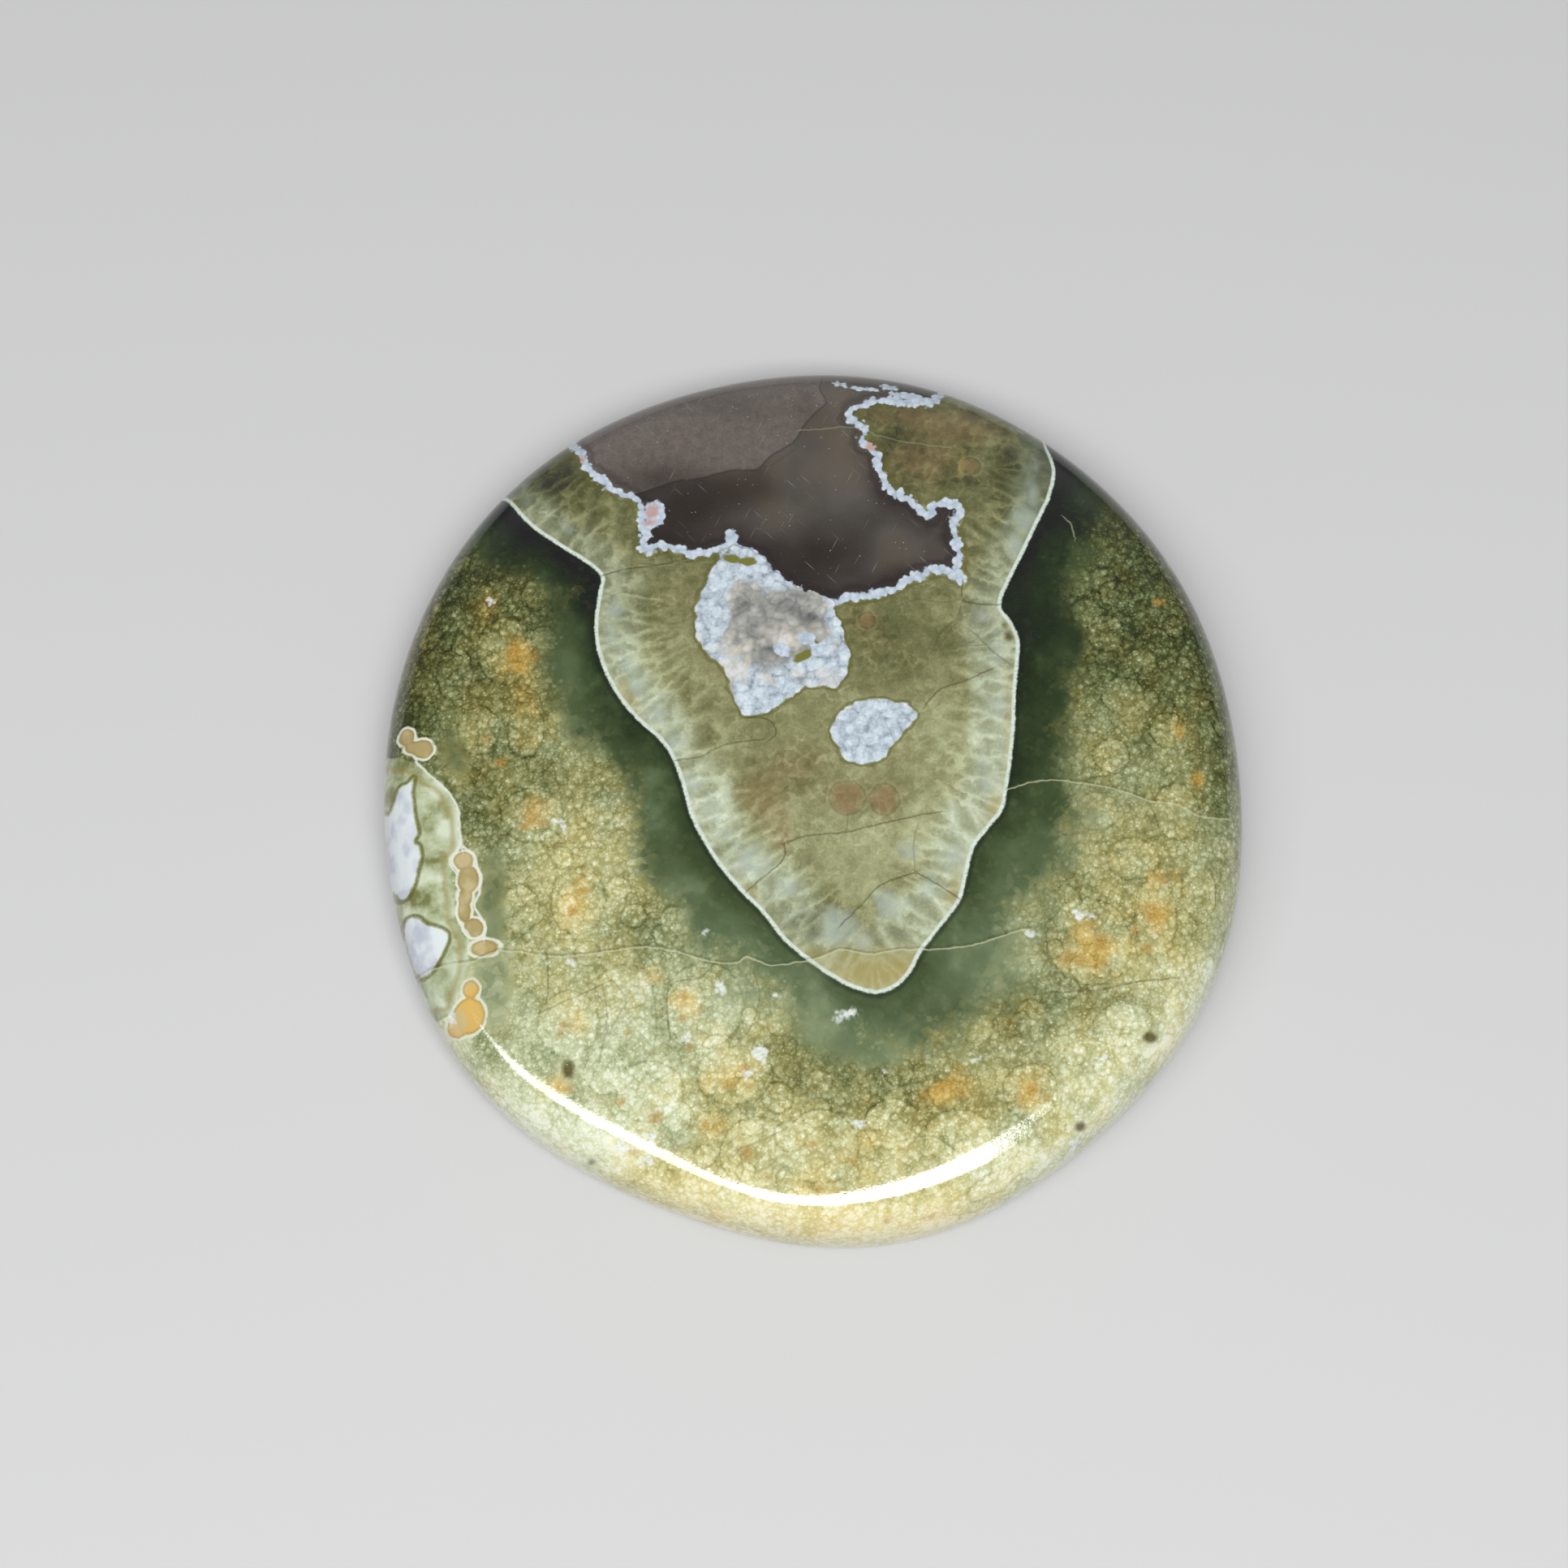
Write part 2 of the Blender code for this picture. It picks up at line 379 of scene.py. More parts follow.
HEALED = (
    (
        1.0, (514, 1208), (530, 1197), (552, 1189), (580, 1186), (610, 1173), (640, 1173),
        (677, 1179), (717, 1177), (760, 1171), (796, 1167), (835, 1173), (875, 1185), (907, 1187),
        (920, 1179), (950, 1189), (986, 1185), (1009, 1181), (1036, 1170), (1071, 1176),
        (1105, 1171), (1136, 1170), (1174, 1168), (1205, 1163), (1251, 1148), (1268, 1145),
    ),
    (
        0.9, (1242, 973), (1265, 965), (1295, 961), (1326, 964), (1355, 968), (1383, 975),
        (1400, 981), (1416, 987), (1434, 989), (1455, 993), (1469, 1002), (1485, 1007),
        (1515, 1010),
    ),
    (0.6, (1312, 638), (1319, 645), (1322, 654), (1324, 662)),
    (0.3, (986, 530), (1007, 529), (1034, 526), (1059, 528), (1080, 536)),
    (0.3, (1080, 536), (1107, 543), (1140, 548), (1168, 551)),
    (0.5, (790, 697), (815, 697), (842, 692)),
)

# Soft patches: x, y, radius across and along, strength, and a turn where they have one
TONE_PATCHES = (
    (1100, 1335, 120, 55, -0.19), (1010, 1370, 80, 50, -0.03), (575, 700, 90, 60, -0.03),
    (1390, 1190, 80, 90, 0.02), (1350, 1300, 90, 60, 0.04, -30), (1215, 1245, 70, 40, -0.1),
    (1000, 1270, 60, 30, -0.07), (700, 1060, 70, 120, 0.09), (760, 1220, 110, 60, 0.04),
    (1240, 1400, 80, 40, 0.06), (1400, 1000, 60, 130, 0.07), (620, 840, 50, 70, 0.04),
    (700, 1420, 90, 40, 0.04, 20), (600, 985, 40, 40, -0.08), (1300, 1220, 60, 50, -0.1),
    (1405, 735, 60, 60, -0.08), (500, 900, 30, 50, -0.1), (700, 900, 45, 50, 0.11),
    (800, 1140, 40, 40, -0.1), (1500, 940, 24, 90, -0.08), (900, 1220, 40, 30, -0.09),
    (600, 1225, 30, 50, 0.09), (1100, 1300, 60, 40, -0.05), (1000, 1300, 40, 30, -0.1),
    (600, 1300, 30, 40, -0.1), (1400, 1310, 50, 40, -0.06), (1300, 1385, 46, 30, -0.09, -20),
    (1200, 1465, 50, 26, -0.09), (1060, 1465, 80, 20, -0.06), (800, 1450, 50, 20, -0.05, 25),
    (500, 900, 30, 40, -0.08), (600, 820, 30, 30, -0.05), (1300, 1140, 30, 40, -0.06),
    (1500, 1030, 24, 80, -0.03), (1400, 1230, 40, 30, -0.05), (700, 1220, 40, 30, -0.04),
    (1300, 860, 20, 60, -0.05), (1220, 1240, 40, 20, -0.06), (700, 900, 40, 30, 0.07),
    (600, 740, 30, 40, 0.06), (600, 1140, 24, 30, -0.09), (1400, 900, 50, 40, 0.05),
    (1400, 740, 40, 50, 0.05), (600, 1290, 20, 30, -0.06), (800, 1300, 60, 50, -0.02),
    (800, 980, 30, 30, 0.03), (632, 808, 24, 26, 0.1), (1512, 1000, 16, 60, 0.04),
    (1492, 1180, 24, 60, 0.04), (1000, 1385, 60, 30, 0.03), (800, 1390, 40, 20, 0.05, 20),
)
WARM_PATCHES = (
    (1000, 1505, 190, 40, 0.8), (1090, 1390, 110, 60, 0.25), (1420, 1120, 60, 90, 0.45),
    (1492, 1180, 26, 90, -0.35), (1515, 1000, 20, 60, -0.2), (620, 840, 50, 90, 0.35),
    (505, 780, 26, 70, 0.7), (700, 1090, 60, 110, 0.3), (820, 1460, 90, 40, 0.4, 20),
    (1170, 1320, 80, 60, 0.3), (900, 1310, 60, 50, 0.35), (1380, 900, 60, 120, 0.02),
    (800, 1300, 110, 80, -0.28, 20), (700, 1330, 50, 60, -0.2), (620, 1280, 70, 50, -0.25),
    (1440, 640, 60, 60, -0.2),
)
RING_WIDTH_PATCHES = (
    (1290, 1090, 80, 100, 1.2), (1310, 800, 60, 170, 0.7), (810, 1050, 80, 90, 0.3),
    (1215, 1230, 70, 60, 1.9), (880, 1190, 70, 50, 1.1), (1060, 1290, 90, 40, 0.7),
)
RING_TONE_PATCHES = (
    (700, 815, 26, 60, 0.16), (1170, 1258, 90, 36, -0.15), (1300, 860, 26, 60, -0.01),
    (1300, 690, 26, 50, 0.03), (850, 1090, 40, 40, -0.02, -40), (1210, 1150, 30, 60, -0.03, 20),
    (1000, 1225, 50, 20, -0.04, 30), (585, 655, 60, 34, 0.06, -40), (660, 700, 36, 26, 0.03, 30),
    (1325, 615, 50, 34, 0.05, 40),
)
# The wedge's own tone in soft patches, with painted shade among them: the darker patches near
# (600, 575), (1290, 575) and (1300, 578) are painted shade at the far rim
WEDGE_TONE_AND_SHADE_PATCHES = (
    (1100, 800, 60, 50, -0.07), (1250, 640, 22, 40, -0.06), (1130, 560, 40, 40, -0.05),
    (950, 962, 50, 28, -0.1, 20), (1044, 983, 20, 20, -0.09), (1090, 987, 18, 18, -0.08),
    (740, 640, 50, 26, -0.03, 35), (1180, 560, 90, 60, -0.06), (1100, 790, 70, 50, -0.05),
    (1068, 764, 22, 18, -0.06), (945, 890, 34, 14, -0.1), (850, 740, 40, 40, -0.02),
    (1000, 1090, 60, 40, 0.03), (985, 930, 40, 20, -0.05), (1200, 900, 60, 80, 0.05),
    (860, 880, 30, 50, -0.03, 30), (1190, 985, 50, 50, -0.04), (1000, 1140, 46, 30, -0.13, 20),
    (1100, 1140, 50, 34, -0.11), (800, 820, 30, 40, 0.08), (900, 985, 30, 36, 0.08),
    (600, 575, 50, 40, -0.16), (1290, 575, 36, 60, -0.14), (810, 660, 40, 24, -0.07),
    (640, 620, 30, 30, -0.05), (690, 590, 40, 30, -0.15, 30), (1300, 578, 24, 50, -0.14),
    (1100, 505, 50, 14, -0.1), (1100, 560, 30, 50, -0.06), (960, 1100, 50, 34, -0.09, 35),
    (1000, 1140, 40, 26, -0.05), (900, 1060, 24, 24, -0.07),
)
POCKETS = (
    (999, 762, 11, 9, 1.2), (962, 742, 9, 6, 0.6, 20), (930, 772, 8, 6, 0.5),
    (948, 800, 10, 5, 0.6, -30), (978, 775, 7, 7, 0.4), (915, 745, 6, 5, 0.4),
    (905, 812, 7, 4, 0.4, 30), (985, 735, 8, 5, 0.5, 20),
)
BARE_PATCHES = (
    (606, 1110, 18, 60, 1.0), (606, 1225, 26, 42, 1.0), (650, 655, 46, 20, 1.0, -38),
    (1345, 590, 60, 42, 1.0, -40), (560, 930, 16, 40, 0.8, 20),
)
ORANGE_PATCHES = (
    (636, 806, 18, 22, 1.1), (650, 880, 16, 50, 0.45), (500, 760, 16, 40, 0.4),
    (655, 1005, 24, 22, 0.75), (713, 1112, 22, 34, 0.75), (905, 1325, 26, 20, 0.85),
    (1165, 1342, 30, 13, 1.3, 20), (1345, 1165, 32, 34, 1.05), (1427, 1130, 16, 30, 1.0),
    (1270, 1345, 22, 26, 0.75), (1475, 960, 12, 10, 0.9), (1150, 1500, 60, 12, 0.7, 10),
    (1010, 1470, 60, 14, 0.5), (860, 1500, 40, 12, 0.6, -15), (845, 1240, 20, 22, 0.7),
    (1020, 1510, 40, 14, 0.6), (700, 1260, 20, 16, 0.6), (1050, 1425, 60, 30, 0.4),
    (600, 745, 14, 18, 0.5), (1450, 900, 20, 34, 0.4), (880, 1390, 24, 14, 0.5),
    (800, 1200, 24, 16, 0.5), (1250, 1490, 40, 10, 0.6, 20), (1430, 1080, 18, 14, 0.5),
    (690, 1340, 14, 12, 0.8),
)
BROWN_PATCHES = (
    (956, 1003, 20, 20, 0.9), (966, 1034, 12, 14, 0.9), (925, 985, 18, 20, 0.4),
    (950, 962, 50, 28, 0.55, 20), (1044, 983, 26, 22, 0.4), (1000, 940, 60, 24, 0.3),
    (1090, 987, 24, 22, 0.4), (1068, 764, 24, 18, 0.4), (1160, 540, 60, 30, 0.6),
    (850, 730, 50, 30, 0.4), (1110, 600, 40, 30, 0.3), (1130, 512, 110, 16, 0.7, -8),
    (1130, 575, 50, 26, 0.45), (1060, 780, 50, 30, 0.35),
)
PINK_PATCHES = (
    (803, 630, 9, 10, 1.3), (800, 645, 7, 4, 1.0), (1074, 549, 9, 7, 1.2), (717, 566, 5, 6, 1.2),
    (1086, 590, 6, 4, 0.6), (905, 682, 12, 4, 0.4),
)
UMBER_PATCHES = (
    (850, 622, 46, 22, 1.0), (900, 600, 60, 16, 0.6, -8), (830, 650, 30, 24, 0.6),
    (990, 690, 60, 30, 0.35, 20), (800, 588, 46, 18, 0.55, 8), (1000, 500, 24, 30, 0.35),
    (900, 500, 50, 16, 0.35, -6), (1036, 488, 20, 26, -0.9), (1038, 545, 22, 26, -0.7),
    (1010, 580, 40, 26, -0.45), (1140, 690, 30, 24, -0.3), (960, 630, 50, 24, -0.25),
)
HEART_PATCHES = (
    (985, 737, 34, 18, 1.0, 35), (1000, 762, 26, 22, 0.6), (1010, 815, 34, 20, -0.9),
    (915, 850, 30, 24, -0.8), (950, 775, 40, 40, 0.4), (888, 750, 22, 36, -0.8),
    (930, 700, 40, 14, -0.6, 20),
)
PALE_PATCHES = (
    (1222, 900, 26, 130, 0.7), (1190, 1030, 36, 70, 0.6, 25), (960, 1110, 70, 34, 0.8, 40),
    (1110, 1130, 46, 44, 0.7), (772, 800, 20, 70, 0.6, -10), (880, 1010, 30, 60, 0.6, -25),
    (1268, 640, 20, 60, 0.4, 15), (800, 870, 40, 30, 0.5, -35), (1000, 1130, 60, 30, 0.5),
    (1205, 790, 30, 30, 0.5), (1000, 1050, 60, 26, 0.3), (665, 640, 90, 16, 0.9, -42),
    (1280, 590, 20, 50, 0.6), (1262, 660, 18, 50, 0.5, -25),
)
OCHRE_PATCHES = (
    (770, 860, 16, 44, 0.8, -25), (1222, 990, 12, 50, 0.9, 25), (1180, 1110, 14, 40, 0.9, 25),
    (1244, 890, 6, 60, 0.6), (1185, 575, 6, 26, 1.6, -10), (1080, 1196, 40, 16, 0.9),
    (930, 1090, 16, 40, 0.5, -40),
)

# The measures of the pattern that come straight from one table, by name
REGION_FIELDS = {
    "agate": (AGATE,), "agate_pale": (AGATE_PALE,), "pod": (POD,), "pod_white": POD_WHITES,
    "quartz": QUARTZ,
}
VEIN_FIELDS = {"crack": CRACKS, "healed": HEALED, "white_line": WHITE_LINES}
SPOT_FIELDS = {
    "bead": BORDER_BEADS, "core": RUST_CORES, "fleck": WHITE_FLECKS, "islet": QUARTZ_ISLETS,
    "large_orb": LARGE_ORBS, "lump": CRUST_LUMPS, "pit": PITS, "round": BROWN_ROUNDS,
}
PATCH_FIELDS = {
    "brown": BROWN_PATCHES, "heart": HEART_PATCHES, "ochre": OCHRE_PATCHES,
    "pale": PALE_PATCHES, "pink": PINK_PATCHES, "pocket": POCKETS,
    "ring_tone": RING_TONE_PATCHES, "umber": UMBER_PATCHES,
}


# Distances to the lines and spots

def smooth_line(points, closed=False, steps=4):
    """A curve through the points, each stretch divided into a few steps."""
    line = on_stone(points)
    before = np.roll(line, 1)
    after = np.roll(line, -1)
    beyond = np.roll(line, -2)
    if not closed:
        before[0] = line[0]
        after[-1] = beyond[-1] = beyond[-2] = line[-1]
    share = np.arange(steps) / steps
    s = share[None, :]
    a, b, c, d = (part[:, None] for part in (before, line, after, beyond))
    curve = 0.5 * (
        2 * b + (c - a) * s + (2 * a - 5 * b + 4 * c - d) * s ** 2
        + (3 * b - 3 * c + d - a) * s ** 3
    )
    if closed:
        return curve.ravel()
    return np.append(curve[:-1].ravel(), line[-1])


def line_fields(places, lines):
    """For each place: its distance to the nearest of the lines, on which side
    of it, how far along it, and which line it is."""
    starts = np.concatenate([line[:-1] for line in lines])
    steps = np.concatenate([np.diff(line) for line in lines])
    owner = np.concatenate([np.full(len(line) - 1, n) for n, line in enumerate(lines)])
    travelled = np.cumsum(np.abs(steps)) - np.abs(steps)
    squares = np.maximum(np.abs(steps) ** 2, 1e-9)
    distance, side, along, which = [], [], [], []
    for part in np.array_split(places, max(1, len(places) // 3000)):
        offset = part[:, None] - starts[None, :]
        share = np.clip((offset * steps.conj()).real / squares, 0, 1)
        gap = np.abs(offset - share * steps)
        nearest = gap.argmin(1)
        row = np.arange(len(part))
        distance.append(gap[row, nearest])
        side.append(np.sign((steps[nearest].conj() * offset[row, nearest]).imag))
        along.append(travelled[nearest] + share[row, nearest] * np.abs(steps[nearest]))
        which.append(owner[nearest])
    return tuple(np.concatenate(part) for part in (distance, side, along, which))


def inside(places, polygon):
    """Whether each place is inside a closed line."""
    crossings = np.zeros(len(places), int)
    for start, end in zip(polygon, np.roll(polygon, -1)):
        spans = (start.imag > places.imag) != (end.imag > places.imag)
        rise = (end.imag - start.imag) or 1e-9
        meets = start.real + (places.imag - start.imag) / rise * (end.real - start.real)
        crossings += spans & (places.real < meets)
    return crossings % 2 == 1


def region(places, points):
    """Signed distance to a closed outline, above zero inside it, and the way along it."""
    polygon = smooth_line(points, closed=True)
    distance, _, along, _ = line_fields(places, [np.append(polygon, polygon[0])])
    return np.where(inside(places, polygon), distance, -distance), along


def regions(places, outlines):
    return np.max([region(places, points)[0] for points in outlines], axis=0)


def veins(places, lines):
    """Signed distance to the nearest of some open lines, and how near it is."""
    strengths = np.array([strength for strength, *_ in lines])
    curves = [smooth_line(points) for _, *points in lines]
    distance, side, _, which = line_fields(places, curves)
    near = np.clip(1.6 - distance / 0.2, 0, 1) * strengths[which]
    return distance * np.where(side == 0, 1, side), near


def seen_from(places, x, y, turn=0):
    """How many pixels across and along each place is from a pixel of the photograph."""
    centre = on_stone([(x, y)])[0]
    return (places - centre) * np.exp(-1j * math.radians(turn)) * PIXELS_PER_MM


def spot_reach(places, spots):
    """How far each place is inside the nearest of some oval spots, below zero outside."""
    best = np.full(len(places), -9.0)
    for x, y, across, along, *turn in spots:
        local = seen_from(places, x, y, *turn)
        depth = 1 - np.hypot(local.real / across, local.imag / along)
        best = np.maximum(best, depth * min(across, along) / PIXELS_PER_MM)
    return best


def soft_patches(places, patches):
    """The sum of some soft oval patches."""
    total = np.zeros(len(places))
    for x, y, across, along, strength, *turn in patches:
        local = seen_from(places, x, y, *turn)
        total += strength * np.exp(-0.7 * ((local.real / across) ** 2 + (local.imag / along) ** 2))
    return total


# Soft textures, worked out at each vertex

def rise(values, low, high):
    """0 at low and 1 at high, with a smooth step between them."""
    share = np.clip((values - low) / (high - low), 0, 1)
    return share * share * (3 - 2 * share)


def clouds(places, spacing, seed, octaves=3):
    """Smooth noise from about -1 to 1, with its lumps about so many millimetres apart."""
    total = np.zeros(len(places))
    for octave in range(octaves):
        lattice = np.random.default_rng((seed, octave)).uniform(-1.5, 1.5, (32, 32, 32))
        spot = places / spacing * 2 ** octave
        cell = np.floor(spot).astype(int)
        part = spot - cell
        part = part * part * (3 - 2 * part)
        value = np.zeros(len(places))
        for corner in np.ndindex(2, 2, 2):
            share = np.prod(np.where(corner, part, 1 - part), axis=1)
            value += share * lattice[tuple(((cell + corner) % 32).T)]
        total += value / 2 ** octave
    return total


def rounds(places, spacing, seed):
    """Scattered rounds: how far the nearest one's middle is, as a share of the
    spacing, and a number from 0 to 1 for that round."""
    table = np.random.default_rng(seed).uniform(0, 1, (24, 24, 24, 4))
    spot = places / spacing
    cell = np.floor(spot).astype(int)
    nearest = np.full(len(places), 9.0)
    number = np.zeros(len(places))
    for step in np.ndindex(3, 3, 3):
        at = cell + np.array(step) - 1
        found = table[tuple((at % 24).T)]
        gap = np.linalg.norm(at + found[:, :3] - spot, axis=1)
        number = np.where(gap < nearest, found[:, 3], number)
        nearest = np.minimum(nearest, gap)
    return nearest, number


# The mesh

def ring_table():
    """Every ring from the middle of the top, over the side, to the middle of the
    back, as the plan positions of its vertices and their heights."""
    rings = []

    def add(count, radius_of, height_of):
        direction = math.tau * np.arange(count) / count
        plan = radius_of(direction) * np.exp(1j * direction)
        rings.append((plan, np.broadcast_to(height_of(plan), plan.shape)))

    for step in range(TOP_RINGS + 1):
        share = step / TOP_RINGS
        add(
            max(1, RING_SIDES * step),
            lambda a: share * (girdle_radius(a) - shoulder_run(a)),
            top_height,
        )
    for step in range(1, SHOULDER_RINGS + 1):
        kept = math.sin(math.pi / 2 * step / SHOULDER_RINGS) ** (2 / SHOULDER_POWER)
        add(
            RING_SIDES * (TOP_RINGS + step),
            lambda a: girdle_radius(a) - shoulder_run(a) * (1 - kept),
            top_height,
        )
    sides = RING_SIDES * (TOP_RINGS + SHOULDER_RINGS)
    add(sides, girdle_radius, lambda plan: BACK_HEIGHT)
    for step in range(1, BACK_RINGS + 1):
        angle = math.pi / 2 * (1 - step / BACK_RINGS)
        add(
            sides,
            lambda a: girdle_radius(a) - BACK_RUN * (1 - math.sin(angle)),
            lambda plan: BACK_HEIGHT * (1 - math.cos(angle)),
        )
    for step in range(FLAT_RINGS, -1, -1):
        share = 0.992 * step / FLAT_RINGS
        add(
            max(1, RING_SIDES * step),
            lambda a: share * (girdle_radius(a) - BACK_RUN),
            lambda plan: 0.0,
        )
    return rings


def stitch(inner, inner_count, outer, outer_count):
    """Triangles between two rings, given the first vertex and the size of each."""
    ends = np.concatenate([
        np.arange(1, outer_count + 1) / outer_count,
        np.arange(1, inner_count + 1) / inner_count + 1e-9,
    ])
    on_outer = (np.arange(len(ends)) < outer_count)[np.argsort(ends, kind="stable")]
    i = np.cumsum(on_outer) - on_outer
    j = np.cumsum(~on_outer) - ~on_outer
    here, there = outer + i % outer_count, inner + j % inner_count
    next_here = outer + (i + 1) % outer_count
    next_there = inner + (j + 1) % inner_count
    triangles = np.where(
        on_outer[:, None],
        np.stack([here, next_here, there], 1),
        np.stack([there, here, next_there], 1),
    )
    keep = np.where(on_outer, outer_count > 1, inner_count > 1)
    return triangles[keep]


def stone_mesh():
    """The stone's mesh, and the place in the pattern of each of its vertices."""
    rings = ring_table()
    plan = np.concatenate([ring[0] for ring in rings])
    height = np.concatenate([ring[1] for ring in rings])
    first = np.cumsum([0] + [len(ring[0]) for ring in rings])
    triangles = np.concatenate([
        stitch(first[n], len(rings[n][0]), first[n + 1], len(rings[n + 1][0]))
        for n in range(len(rings) - 1)
    ])
    pattern = plan + (height - PATTERN_LEVEL) * LEAN
    places = np.stack([pattern.real, pattern.imag, height], 1)
    above = rise(height, GIRDLE_TOP, GIRDLE_TOP + 1)
    sink = above * (POLISH_WAVE * (1 + clouds(places, 2.6, 90, 1)) + pit_depth(pattern))
    points = np.stack([plan.real, plan.imag, height - sink], 1)
    mesh = bpy.data.meshes.new("cabochon_stone")
    mesh.from_pydata(points * MM, [], triangles.tolist())
    mesh.shade_smooth()
    mesh.update()
    return mesh, pattern, places


def pit_depth(pattern):
    """How far the small natural pits sink the polished top."""
    depth = np.zeros(len(pattern))
    for x, y, across, along in PITS:
        local = seen_from(pattern, x, y)
        reach = np.hypot(local.real / across, local.imag / along)
        depth = np.maximum(depth, PIT_DEPTH * np.clip(1.25 - reach, 0, 1) ** 1.5)
    return depth


def photo_down(pattern):
    """How far down the photograph a pattern position is seen: 0 at the row where
    the painted lightening starts, and 1 where that ends. The lightening is partly
    the rock's own paler tone and partly painted light from the near side."""
    tilt = PIXELS_PER_MM * math.sin(VIEW_ELEVATION)
    row = MIDDLE_PIXEL[1] + 8 - pattern.imag * tilt * (1 - pattern.imag * 0.0021)
    return (row - LIGHTER_FROM) / LIGHTER_ROWS


def ground_fields(pattern, places, wedge):
    """The measures of the speckled rock outside the wedge. A tone is how bright the
    rock looks, from 0 to 1 as a screen shows it."""
    down = photo_down(pattern)
    plan = pattern - (places[:, 2] - PATTERN_LEVEL) * LEAN
    inset = girdle_radius(np.angle(plan)) - np.abs(plan)
    # Painted light: the rim on the near side, where the window's light falls, is painted lighter
    # in the tone
    painted_rim_light = rise(inset, 2.6, 0.5) * rise(down, 0.3, 0.8)
    # The tone rises towards the near side: partly the rock's own paler tone, partly painted light
    # from the window there
    tone = np.minimum(0.31 + 0.60 * down, 0.78) + soft_patches(pattern, TONE_PATCHES)
    tone += 0.15 * painted_rim_light + 0.035 * clouds(places, 3.0, 1) + 0.025 * clouds(places, 1.1, 2, 2)
    outward = -wedge / (2.2 + soft_patches(pattern, RING_WIDTH_PATCHES))
    wander = clouds(places, 2.2, 3)
    bare = soft_patches(pattern, BARE_PATCHES)
    patchy = clouds(places, 0.7, 13, 2)
    orb, orb_pick = rounds(places, 1.6, 21)
    return {
        "down": down,
        "tone": tone + 0.04 * patchy,
        "busy": rise(clouds(places, 3.0, 10, 2), -1.2, 0.3),
        "orb": orb - orb_pick * 0.26 - 0.20,
        "ring": np.maximum(rise(outward + 0.25 * wander, 1.6, 0.45), rise(bare, 0.2, 1.0) * 0.6),
        "grainy": rise(outward + 0.3 * wander, 0.45, 1.5) * (1 - rise(bare, 0.2, 0.8)),
        "warm": 0.37 + soft_patches(pattern, WARM_PATCHES) + 0.22 * clouds(places, 1.2, 14),
        "orange": soft_patches(pattern, ORANGE_PATCHES) + 0.22 * clouds(places, 0.8, 11),
    }


def wedge_fields(pattern, places, wedge):
    """The tone of the wedge's inside and the pale lumps beside its border."""
    down = photo_down(pattern)
    # Lighter towards the near side, partly the wedge's own tone and partly painted light from the
    # window; the patches add the wedge's own tone and painted shade at the far rim
    tone = 0.42 + 0.33 * np.clip(down + 0.1, 0, 0.6) + soft_patches(pattern, WEDGE_TONE_AND_SHADE_PATCHES)
    lump, pick = rounds(places + 0.35 * clouds(places, 0.6, 51, 2)[:, None], 1.15, 52)
    zone = rise(wedge, 0.25, 0.6) * rise(wedge, 2.4, 1.3)
    scattered = rise(lump, 0.70, 0.10) * rise(pick, 0.2, 0.6) * zone * 0.6
    placed = spot_reach(pattern, PALE_LUMPS) + 0.16 * clouds(places, 0.75, 55, 3)
    placed = rise(placed, -0.45, 0.50)
    return {
        "wedge_tone": tone + 0.03 * clouds(places, 1.6, 53) + 0.02 * clouds(places, 0.6, 54, 2),
        "blotch": np.maximum(scattered, placed),
    }


def pattern_fields(pattern, places):
    """The pattern's measures at each vertex, by name."""
    wedge, wedge_along = region(pattern, WEDGE)
    long_cracks = [smooth_line(points) for _, *points in HEALED[:2]]
    gap, side, _, _ = line_fields(pattern, long_cracks)
    fields = {
        "wedge": wedge,
        "wedge_along": wedge_along,
        # Painted reflection: a soft paler band on one side of the two long healed cracks
        "painted_crack_reflection": np.exp(-gap / 2.6) * (side < 0),
        "drift": clouds(places, 3.6, 31),
        "cloud": clouds(places, 1.8, 32),
        "mottle": clouds(places, 0.8, 33),
        "back": rise(places[:, 2], 0.5, 0.0),
        **ground_fields(pattern, places, wedge),
        **wedge_fields(pattern, places, wedge),
    }
    for name, outlines in REGION_FIELDS.items():
        fields[name] = regions(pattern, outlines)
    for name, lines in VEIN_FIELDS.items():
        fields[name], fields[name + "_near"] = veins(pattern, lines)
    for name, spots in SPOT_FIELDS.items():
        fields[name] = spot_reach(pattern, spots)
    for name, patches in PATCH_FIELDS.items():
        fields[name] = soft_patches(pattern, patches)
    return fields


# Shader values that can be written in sums

def connect(tree, value, socket):
    if isinstance(value, Value):
        tree.links.new(value.socket, socket)
    elif isinstance(value, tuple) and len(socket.default_value) == 4:
        socket.default_value = (*value, 1.0)
    else:
        socket.default_value = value


def new_value(tree, kind, inputs, output=0, **settings):
    """What a new node gives, from its inputs, by number or name, and its settings."""
    node = tree.nodes.new("ShaderNode" + kind)
    for name, setting in settings.items():
        setattr(node, name, setting)
    for name, value in dict(inputs).items():
        connect(tree, value, node.inputs[name])
    return Value(tree, node.outputs[output])


